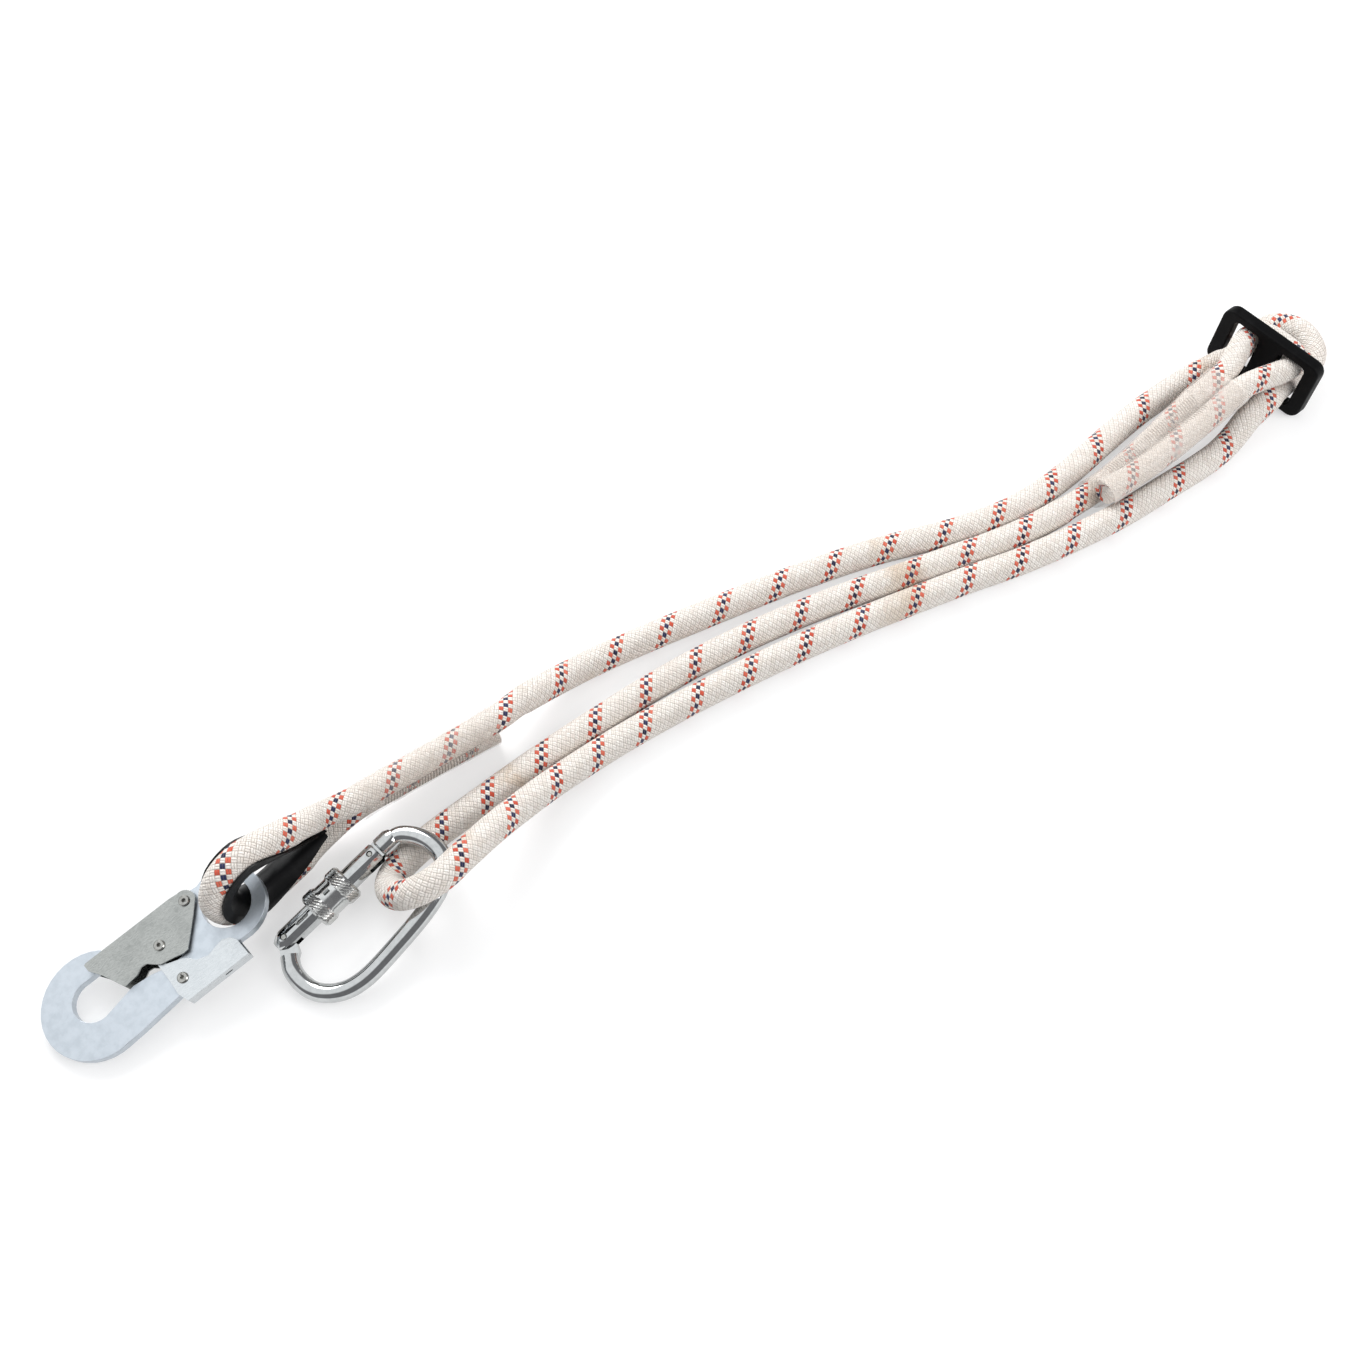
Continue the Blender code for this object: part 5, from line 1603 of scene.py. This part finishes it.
@dataclass
class Splice:
    """One sewn splice: two rope runs side by side under a clear film.

    Attributes:
        rope: The rope.
        name: What the splice's pieces are called after.
        main: The running lengths where the main run begins and ends.
        tail: The same for the tail, in the main run's order.
        flare: How much of the flare the film has at its two ends.
        sewn: The shares of the splice where its sewing begins and ends.
        finish: The film's finish.
        flare_height: How far a flared end opens.
        flare_power: How near to its end the film opens.
        wall: The film's thickness.
        gap: The room between the rope and the film.
        sides: The places on each half of the film's section.
        sections: How many sections the film has.
        wrinkle: How deep its wrinkles are.
        wrinkle_scale: How close together they are.
        thread_r: The thread's radius.
        thread_sides: The thread's sides.
        stitch_pitch: How far apart the stitches are.
        stitch_slant: How far a stitch leans to each side, as a share of that distance.
        stitch_rise: How far round a run a stitch goes, in degrees.
        stitch_steps: The places of a stitch on each run.
        stitch_sink: How much of its radius the thread stands out.
        smooth_angle: The angle in degrees up to which its pieces are shaded smooth.
    """

    rope: Rope
    name: str
    main: Pair
    tail: Pair
    flare: Pair
    sewn: Pair
    finish: Finish
    flare_height: float = 0.0008
    flare_power: int = 8
    wall: float = 0.0003
    gap: float = 0.0006
    sides: int = 22
    sections: int = 72
    wrinkle: float = 0.00018
    wrinkle_scale: float = 130.0
    thread_r: float = 0.00030
    thread_sides: int = 6
    stitch_pitch: float = 0.0017
    stitch_slant: float = 0.7
    stitch_rise: Pair = (6.0, 54.0)
    stitch_steps: int = 4
    stitch_sink: float = 0.4
    smooth_angle: float = 60.0

    def station(self, share: float) -> tuple[Vector, Vector, Vector, Vector]:
        """Return where the two runs are at a share of the splice.

        Args:
            share: 0 to 1 along the splice.

        Returns:
            The main run's middle, the tail's middle, and the side and up directions.
        """
        length = self.main[0] + (self.main[1] - self.main[0]) * share
        first = self.rope.route.at(length)
        second = self.rope.route.at(self.tail[0] + (self.tail[1] - self.tail[0]) * share)
        tangent = self.rope.route.direction(length)
        second = second - tangent * (second - first).dot(tangent)
        up = (second - first).normalized()
        return first, second, tangent.cross(up), up

    def hull(self, share: float, wall: float) -> list[Vector]:
        """Return the film's section, wrinkled a little.

        Args:
            share: 0 to 1 along the splice.
            wall: How far outside the film's inner face the section lies.

        Returns:
            The section's places.
        """
        first, second, side, up = self.station(share)
        opened = (self.flare[0] * (1 - share) ** self.flare_power
                  + self.flare[1] * share ** self.flare_power)
        base = self.rope.sewn_r + self.gap + self.flare_height * opened + wall
        points = []
        for centre, turn in ((first, math.pi), (second, 0.0)):
            for index in range(self.sides):
                angle = turn + math.pi * index / (self.sides - 1)
                outward = side * math.cos(angle) + up * math.sin(angle)
                place = centre + outward * base
                ripple = noise.noise(place * self.wrinkle_scale) * self.wrinkle
                points.append(place + outward * ripple)
        return points

    def film(self, finishes: Finishes) -> None:
        """Make the film and let it stand for its solid.

        Args:
            finishes: The materials.
        """
        bm = bmesh.new()
        shares = [index / (self.sections - 1) for index in range(self.sections)]
        inner, outer = ([[bm.verts.new(place) for place in self.hull(share, wall)]
                         for share in shares] for wall in (0.0, self.wall))
        for rings in (inner, outer, (inner[0], outer[0]), (inner[-1], outer[-1])):
            for first, second in zip(rings, rings[1:]):
                join_rings(bm, first, second)
        name = f"{self.name}_film"
        piece = link_piece(name, smooth_mesh(name, bm, self.smooth_angle),
                           finishes[self.finish], Body.LANYARD)
        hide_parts(f"{self.name}_sleeve")

    def stitches(self, finishes: Finishes) -> None:
        """Sew the two runs together with threads over both saddles.

        Args:
            finishes: The materials.
        """
        start, end = self.sewn
        count = int((self.main[1] - self.main[0]) * (end - start) / self.stitch_pitch)
        bm = bmesh.new()
        for number in range(count):
            share = start + (end - start) * (number + 0.5) / count
            for flank in (1, -1):
                self.sew(bm, share, flank)
        name = f"{self.name}_stitches"
        link_piece(name, smooth_mesh(name, bm, self.smooth_angle), finishes[Finish.THREAD],
                   Body.LANYARD)

    def dress(self, finishes: Finishes) -> None:
        """Make its film and its stitches.

        Args:
            finishes: The materials.
        """
        self.film(finishes)
        self.stitches(finishes)

    def sew(self, bm: bmesh.types.BMesh, share: float, flank: int) -> None:
        """Lay one thread over one saddle.

        Args:
            bm: The threads' shape.
            share: The share of the splice.
            flank: 1 for one side of the pair and -1 for the other.
        """
        first, second, side, up = self.station(share)
        ahead = side.cross(up) * (self.stitch_pitch * self.stitch_slant)
        aside = side * flank
        over = self.rope.sewn_r + self.thread_r * self.stitch_sink
        low, high = self.stitch_rise
        half = self.stitch_steps - 0.5
        path = []
        for step in range(self.stitch_steps):
            angle = math.radians(low + (high - low) * step / (self.stitch_steps - 1))
            path.append(first + aside * (over * math.cos(angle)) + up * (over * math.sin(angle))
                        - ahead * (half - step) / half)
        for step in range(self.stitch_steps):
            angle = math.radians(high - (high - low) * step / (self.stitch_steps - 1))
            path.append(second + aside * (over * math.cos(angle)) - up * (over * math.sin(angle))
                        + ahead * (step + 0.5) / half)
        sweep(bm, path, self.thread_r, self.thread_sides)


@dataclass(frozen=True)
class Carabiner:
    """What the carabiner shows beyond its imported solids.

    Attributes:
        seat: The middle of what it bears on, as laid out.
        rest_z: How high its nose rests.
        heading: Its turn about +Z.
        roll: Its turn about its own X.
        length: Its length, of which the shares along it are taken.
        half_w: Half its width, of which the shares across it are taken.
        swing_shares: The two places between which it bears.
        rod_shares: Where its bent rod goes.
        rod_r: The rod's radius.
        skin: How far the rod's skin lies outside it.
        rod_sides: The skin's sides.
        rod_step: The distance between its sections.
        gate_r: The gate's radius.
        gate_share: How far out the gate's axis lies.
        sleeve_share: Where the screw sleeve begins.
        sleeve_r: The sleeve's radius.
        sleeve_l: The sleeve's length.
        chamfer: The sleeve's chamfer.
        chamfer_share: How many chamfers a band stays clear of its edges.
        band_share: How much of the sleeve a band takes.
        knurl_sides: The places round a band.
        knurl_rows: The rows along a band.
        knurl_peak: How far a pyramid stands out.
        knurl_foot: How far a band's valleys stand out.
        knurl_root: How deep a band's back lies.
        window_share: Where the gate's spring window begins.
        window_l: The window's length.
        spring_sink: How far below the gate's top the spring's middle lies.
        spring_turns: The spring's turns.
        spring_steps: The places on a turn.
        coil_r: The spring's radius.
        wire_r: The radius of its wire.
        wire_sides: The wire's sides.
        spring_inset: The share of the window that is free at each end.
        smooth_angle: The angle in degrees up to which its rod and spring are shaded smooth.
    """

    seat: Point = (-0.1747, -0.0237, 0.0202)
    rest_z: float = 0.0052
    heading: float = math.radians(10.3)
    roll: float = math.radians(2.2)
    length: float = 0.0943
    half_w: float = 0.0224
    swing_shares: Sequence[Pair] = ((0.846, -0.759), (0.976, 0.625))
    rod_shares: Sequence[Pair] = (
        (0.053, 0.660), (0.015, 0.380), (0.005, 0.020), (0.019, -0.307), (0.055, -0.561),
        (0.114, -0.785), (0.190, -0.930), (0.300, -0.995), (0.490, -0.955), (0.690, -0.873),
        (0.845, -0.724), (0.940, -0.482), (0.992, -0.197), (1.001, 0.132), (0.988, 0.430),
        (0.957, 0.702), (0.905, 0.930), (0.830, 0.985))
    rod_r: float = 0.0048
    skin: float = 0.0001
    rod_sides: int = 40
    rod_step: float = 0.0012
    gate_r: float = 0.0061
    gate_share: float = 1.004
    sleeve_share: float = 0.297
    sleeve_r: float = 0.0097
    sleeve_l: float = 0.0240
    chamfer: float = 0.0009
    chamfer_share: float = 1.15
    band_share: float = 0.36
    knurl_sides: int = 52
    knurl_rows: int = 8
    knurl_peak: float = 0.0005
    knurl_foot: float = 0.00002
    knurl_root: float = 0.0004
    window_share: float = 0.191
    window_l: float = 0.0080
    spring_sink: float = 0.0019
    spring_turns: int = 9
    spring_steps: int = 14
    coil_r: float = 0.00085
    wire_r: float = 0.00018
    wire_sides: int = 6
    spring_inset: float = 0.04
    smooth_angle: float = 60.0

    def stand(self) -> Matrix:
        """Lean the carabiner on what it bears on.

        Returns:
            Its own directions, from the start of its rod.
        """
        low, high = (self.spot(share) for share in self.swing_shares)
        bearing = (low + high) / 2
        pitch = math.asin((self.seat[2] - self.rest_z) / bearing.x)
        turn = pose(Vector((0, 0, 0)), self.heading, pitch, self.roll)
        return Matrix.Translation(on_floor(self.seat) - turn @ bearing) @ turn

    def spot(self, shares: Pair) -> Vector:
        """Turn shares of its length and half width into a place in its own plane.

        Args:
            shares: The two shares.

        Returns:
            The place.
        """
        return Vector((shares[0] * self.length, shares[1] * self.half_w, 0.0))

    def rod(self, finishes: Finishes) -> None:
        """Lay a finely turned skin over the bent rod.

        Args:
            finishes: The materials.
        """
        stand = self.stand()
        path = Route([stand @ self.spot(shares) for shares in self.rod_shares])
        total = path.lengths[-1]
        count = int(total / self.rod_step)
        places = [path.at(total * index / count) for index in range(count + 1)]
        bm = bmesh.new()
        sweep(bm, places, self.rod_r + self.skin, self.rod_sides)
        mesh = smooth_mesh("carabiner_rod_skin", bm, self.smooth_angle)
        link_piece("carabiner_rod_skin", mesh, finishes[Finish.CHROME], Body.CARABINER)

    def knurl(self, finishes: Finishes) -> None:
        """Cut the diamond grip on the screw sleeve's two bands.

        Args:
            finishes: The materials.
        """
        band = self.sleeve_l * self.band_share
        inset = self.chamfer * self.chamfer_share
        for name, edge in (("near", 0.0), ("far", self.sleeve_l - band)):
            self.knurl_band(f"sleeve_grip_{name}", edge + inset, edge + band - inset, finishes)

    def knurl_band(self, name: str, start: float, end: float, finishes: Finishes) -> None:
        """Make one band of small pyramids.

        Args:
            name: The band's name.
            start: Where it begins along the sleeve.
            end: Where it ends.
            finishes: The materials.
        """
        axis = self.spot((self.sleeve_share, self.gate_share))
        along = self.stand() @ Matrix.Translation(axis) @ Matrix.Rotation(math.pi / 2, 4, "Y")
        bm = bmesh.new()
        rings = []
        for row in range(self.knurl_rows + 1):
            raised = 0 < row < self.knurl_rows
            radii = [self.sleeve_r + (self.knurl_peak if raised and (index + row) % 2
                                      else self.knurl_foot)
                     for index in range(self.knurl_sides)]
            height = start + (end - start) * row / self.knurl_rows
            rings.append(add_ring(bm, self.knurl_ring(along, radii, height)))
        root = [self.sleeve_r - self.knurl_root] * self.knurl_sides
        rings += [add_ring(bm, self.knurl_ring(along, root, height)) for height in (end, start)]
        loft(bm, rings + rings[:1])
        bmesh.ops.recalc_face_normals(bm, faces=bm.faces)
        mesh = bpy.data.meshes.new(name)
        bm.to_mesh(mesh)
        bm.free()
        link_piece(name, mesh, finishes[Finish.KNURL], Body.SCREW_SLEEVE)

    @staticmethod
    def knurl_ring(along: Matrix, radii: Sequence[float], height: float) -> list[Vector]:
        """Return one row of a band.

        Args:
            along: The sleeve's own directions.
            radii: How far out each place is.
            height: Where the row is along the sleeve.

        Returns:
            The row's places.
        """
        turns = [2 * math.pi * index / len(radii) for index in range(len(radii))]
        return [along @ Vector((radius * math.cos(turn), radius * math.sin(turn), height))
                for radius, turn in zip(radii, turns)]

    def spring(self, finishes: Finishes) -> None:
        """Coil the gate's spring in its window.

        Args:
            finishes: The materials.
        """
        stand = self.stand()
        steps = self.spring_turns * self.spring_steps
        middle = self.spot((self.window_share, self.gate_share))
        middle.z = self.gate_r - self.spring_sink
        places = []
        for index in range(steps + 1):
            angle = 2 * math.pi * index / self.spring_steps
            share = self.spring_inset + (1 - 2 * self.spring_inset) * index / steps
            places.append(stand @ (middle + Vector((self.window_l * share,
                                                    self.coil_r * math.cos(angle),
                                                    self.coil_r * math.sin(angle)))))
        bm = bmesh.new()
        sweep(bm, places, self.wire_r, self.wire_sides)
        mesh = smooth_mesh("gate_spring", bm, self.smooth_angle)
        link_piece("gate_spring", mesh, finishes[Finish.RIVET], Body.CARABINER_GATE)

    def dress(self, finishes: Finishes) -> None:
        """Make all of it.

        Args:
            finishes: The materials.
        """
        self.rod(finishes)
        self.knurl(finishes)
        self.spring(finishes)


@dataclass(frozen=True)
class Refit:
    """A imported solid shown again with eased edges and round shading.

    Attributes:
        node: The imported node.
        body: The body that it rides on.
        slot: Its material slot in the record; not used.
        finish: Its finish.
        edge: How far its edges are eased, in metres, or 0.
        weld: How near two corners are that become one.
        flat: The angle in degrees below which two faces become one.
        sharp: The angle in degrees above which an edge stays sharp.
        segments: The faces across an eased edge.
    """

    node: str
    body: Body
    slot: str
    finish: Finish
    edge: float = 0.0
    weld: float = 0.00002
    flat: float = 1.0
    sharp: float = 36.0
    segments: int = 2

    def dress(self, finishes: Finishes) -> None:
        """Make the piece.

        Args:
            finishes: The materials.
        """
        bm = bmesh.new()
        bm.from_mesh(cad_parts[self.node].data)
        bmesh.ops.remove_doubles(bm, verts=bm.verts, dist=self.weld)
        bmesh.ops.dissolve_limit(bm, angle_limit=math.radians(self.flat), verts=bm.verts,
                                 edges=bm.edges)
        name = f"{self.node}_skin"
        piece = link_piece(name, smooth_mesh(name, bm, self.sharp), finishes[self.finish],
                           self.body)
        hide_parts(self.node)
        piece.modifiers.new("normals", "WEIGHTED_NORMAL").keep_sharp = True
        if self.edge > 0:
            modifier = piece.modifiers.new("edge", "BEVEL")
            modifier.width = self.edge
            modifier.segments = self.segments
            modifier.limit_method = "ANGLE"
            modifier.angle_limit = math.radians(self.sharp)
            piece.modifiers.move(1, 0)


REFITS = (
    Refit("thimble", Body.LANYARD, "thimble_plastic", Finish.THIMBLE),
    Refit("slider_frame", Body.LANYARD, "slider_plastic", Finish.SLIDER),
    Refit("hook_body", Body.HOOK, "hook_steel", Finish.PLATE),
    Refit("gate_rivet", Body.HOOK, "rivet_steel", Finish.RIVET),
    Refit("lever_rivet", Body.HOOK, "rivet_steel", Finish.RIVET),
    Refit("hook_gate", Body.HOOK_GATE, "gate_steel", Finish.SHEET, edge=0.0003),
    Refit("lock_pin", Body.HOOK_GATE, "rivet_steel", Finish.RIVET),
    Refit("lock_lever", Body.LOCK_LEVER, "gate_steel", Finish.LEVER, edge=0.0003),
    Refit("carabiner_body", Body.CARABINER, "carabiner_steel", Finish.CHROME),
    Refit("gate_hinge_pin", Body.CARABINER, "pin_steel", Finish.RIVET),
    Refit("carabiner_gate", Body.CARABINER_GATE, "carabiner_steel", Finish.CHROME),
    Refit("gate_latch_pin", Body.CARABINER_GATE, "pin_steel", Finish.RIVET),
    Refit("screw_sleeve", Body.SCREW_SLEEVE, "sleeve_steel", Finish.TURNED),
)


@dataclass(frozen=True)
class Lamp:
    """One soft square lamp that faces the lanyard.

    Attributes:
        name: Its name.
        place: Where it hangs.
        size: Its side.
        watts: Its power.
    """

    name: str
    place: Point
    size: float
    watts: float

    def hang(self) -> None:
        """Hang it."""
        data = bpy.data.lights.new(self.name, "AREA")
        data.shape = "SQUARE"
        data.size = self.size
        data.energy = self.watts
        lamp = bpy.data.objects.new(self.name, data)
        place = Vector(self.place)
        turn = (-place).to_track_quat("-Z", "Y").to_matrix().to_4x4()
        lamp.matrix_world = Matrix.Translation(place) @ turn
        bpy.context.scene.collection.objects.link(lamp)
        logger.info("hung %s", self.name)


@dataclass(frozen=True)
class Studio:
    """The floor, the lamps and the camera, in the model's frame.

    Attributes:
        place: Where the camera stands.
        target: What it looks at.
        right: A direction to the picture's right.
        focal_pixels: Its focal length in the picture's pixels.
        picture_pixels: The square picture's side.
        sensor: The sensor's width in millimetres.
        near_clip: The nearest that the camera sees.
        floor_z: How high the floor lies.
        floor_reach: How far it reaches.
        floor_tone: Its colour in the lanyard's light.
        floor_seen: The share of white that shadows can darken, as the camera sees it.
        floor_fade: From where to where it turns into plain white.
        sky: The surroundings' light.
        bright_sky: The light near the horizon and from the soft box.
        horizon: The heights between which the bright horizon fades.
        softbox: The direction of the soft box.
        softbox_edge: How near to that direction it begins and is full.
        lamps: The lamps.
    """

    place: Point = (-0.2813, -0.3565, 0.7760)
    target: Point = (-0.0269, 0.0123, 0.0)
    right: Point = (0.8231, -0.5678, 0.0)
    focal_pixels: float = 1600.0
    picture_pixels: float = 1365.0
    sensor: float = 36.0
    near_clip: float = 0.01
    floor_z: float = -0.0001
    floor_reach: float = 6.0
    floor_tone: float = 0.80
    floor_seen: float = 0.52
    floor_fade: Pair = (0.7, 1.5)
    sky: Colour = (0.24, 0.24, 0.25, 1.0)
    bright_sky: Colour = (1.16, 1.18, 1.20, 1.0)
    horizon: Pair = (0.02, 0.16)
    softbox: Point = (-0.22, 0.50, 0.84)
    softbox_edge: Pair = (0.62, 0.80)
    lamps: Sequence[Lamp] = (Lamp("key", (0.10, 1.35, 1.05), 1.0, 21.0),
                             Lamp("fill", (0.90, -1.10, 1.20), 1.1, 19.0))

    def camera(self) -> None:
        """Stand the camera where the photograph was taken from."""
        data = bpy.data.cameras.new("photo_camera")
        data.lens = self.focal_pixels * self.sensor / self.picture_pixels
        data.sensor_width = self.sensor
        data.sensor_fit = "HORIZONTAL"
        data.clip_start = self.near_clip
        place, right = Vector(self.place), Vector(self.right)
        forward = (Vector(self.target) - place).normalized()
        right = (right - forward * right.dot(forward)).normalized()
        turn = Matrix((right, right.cross(forward), -forward)).transposed().to_4x4()
        camera = bpy.data.objects.new("photo_camera", data)
        camera.matrix_world = Matrix.Translation(place) @ turn
        bpy.context.scene.collection.objects.link(camera)
        bpy.context.scene.camera = camera
        logger.info("placed the camera with a %.1f mm lens", data.lens)

    def floor(self) -> None:
        """Lay the pale floor, white to the camera where nothing shades it."""
        bm = bmesh.new()
        bmesh.ops.create_grid(bm, x_segments=1, y_segments=1, size=self.floor_reach,
                              matrix=Matrix.Translation((0.0, 0.0, self.floor_z)))
        mesh = bpy.data.meshes.new("floor")
        bm.to_mesh(mesh)
        bm.free()
        mesh.materials.append(self.floor_material())
        floor = bpy.data.objects.new("floor", mesh)
        bpy.context.scene.collection.objects.link(floor)
        logger.info("laid the floor")

    def floor_material(self) -> bpy.types.Material:
        """Make the floor's material, which fades into plain white far out.

        Returns:
            The material.
        """
        material = bpy.data.materials.new("pale_floor")
        material.use_nodes = True
        material.node_tree.nodes.clear()
        graph = Graph(material.node_tree)
        lit = graph.diffuse(self.floor_tone)
        white = graph.add("ShaderNodeAddShader")
        graph.feed(white.inputs[0], graph.diffuse(self.floor_seen))
        graph.feed(white.inputs[1], graph.glow(self.floor_seen))
        distance = graph.add("ShaderNodeVectorMath", operation="LENGTH")
        graph.feed(distance.inputs[0], graph.add("ShaderNodeTexCoord").outputs["Object"])
        far = graph.remap(distance.outputs["Value"], *self.floor_fade, 0.0, 1.0)
        faded = graph.blend(far, white.outputs[0], graph.glow(1.0))
        path = graph.add("ShaderNodeLightPath")
        seen = graph.math("ADD", path.outputs["Is Camera Ray"], path.outputs["Is Glossy Ray"])
        seen = graph.math("ADD", seen, path.outputs["Is Transmission Ray"], clamp=True)
        sink = graph.add("ShaderNodeOutputMaterial")
        graph.feed(sink.inputs["Surface"], graph.blend(seen, lit, faded))
        return material

    def world(self) -> None:
        """Light the scene from all round, softer overhead, white at the floor's edge."""
        world = bpy.data.worlds.new("studio")
        world.use_nodes = True
        bpy.context.scene.world = world
        graph = Graph(world.node_tree)
        background = world.node_tree.nodes["Background"]
        place = graph.add("ShaderNodeTexCoord").outputs["Generated"]
        split = graph.add("ShaderNodeSeparateXYZ")
        graph.feed(split.inputs[0], place)
        towards = graph.add("ShaderNodeVectorMath", operation="DOT_PRODUCT")
        graph.feed(towards.inputs[0], place)
        towards.inputs[1].default_value = self.softbox
        horizon = graph.remap(split.outputs["Z"], *self.horizon, 1.0, 0.0)
        box = graph.remap(towards.outputs["Value"], *self.softbox_edge, 0.0, 1.0)
        sky = graph.mix(graph.math("MAXIMUM", horizon, box), self.sky, self.bright_sky)
        path = graph.add("ShaderNodeLightPath")
        graph.feed(background.inputs["Color"],
                   graph.mix(path.outputs["Is Camera Ray"], sky, WHITE))
        background.inputs["Strength"].default_value = 1.0
        logger.info("lit the surroundings")

    def build(self) -> None:
        """Build all of it."""
        bpy.context.scene.view_settings.view_transform = "Standard"
        self.camera()
        self.floor()
        self.world()
        for lamp in self.lamps:
            lamp.hang()


def find_splices(rope: Rope) -> tuple[Splice, Splice]:
    """Find the two splices on the rope.

    Args:
        rope: The rope.

    Returns:
        The hook's splice and the slider's.
    """
    first, last = rope.first, rope.last
    crotch = rope.free_r
    hook = Splice(rope, "hook_splice",
                  main=(first["hook_main"] + crotch / 2, last["hook_main"]),
                  tail=(last["hook_tail"] - crotch / 2, first["hook_tail"]),
                  flare=(1.0, 0.0), sewn=(0.16, 0.84), finish=Finish.CLEAR_FILM)
    slider = Splice(rope, "slider_splice",
                    main=(first["slider_main"], last["slider_main"] - crotch),
                    tail=(last["slider_tail"], first["slider_tail"] + crotch),
                    flare=(1.0, 1.0), sewn=(0.14, 0.80), finish=Finish.HAZY_FILM)
    return hook, slider


def main() -> None:
    """Dress the lanyard."""
    logging.basicConfig(level=logging.INFO, format="%(message)s")
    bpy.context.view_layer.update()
    Studio().build()
    finishes = Finishes()
    rope = Rope()
    rope.dress(finishes)
    for splice in find_splices(rope):
        splice.dress(finishes)
    Carabiner().dress(finishes)
    for refit in REFITS:
        refit.dress(finishes)
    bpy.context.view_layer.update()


if __name__ == "__main__":
    main()
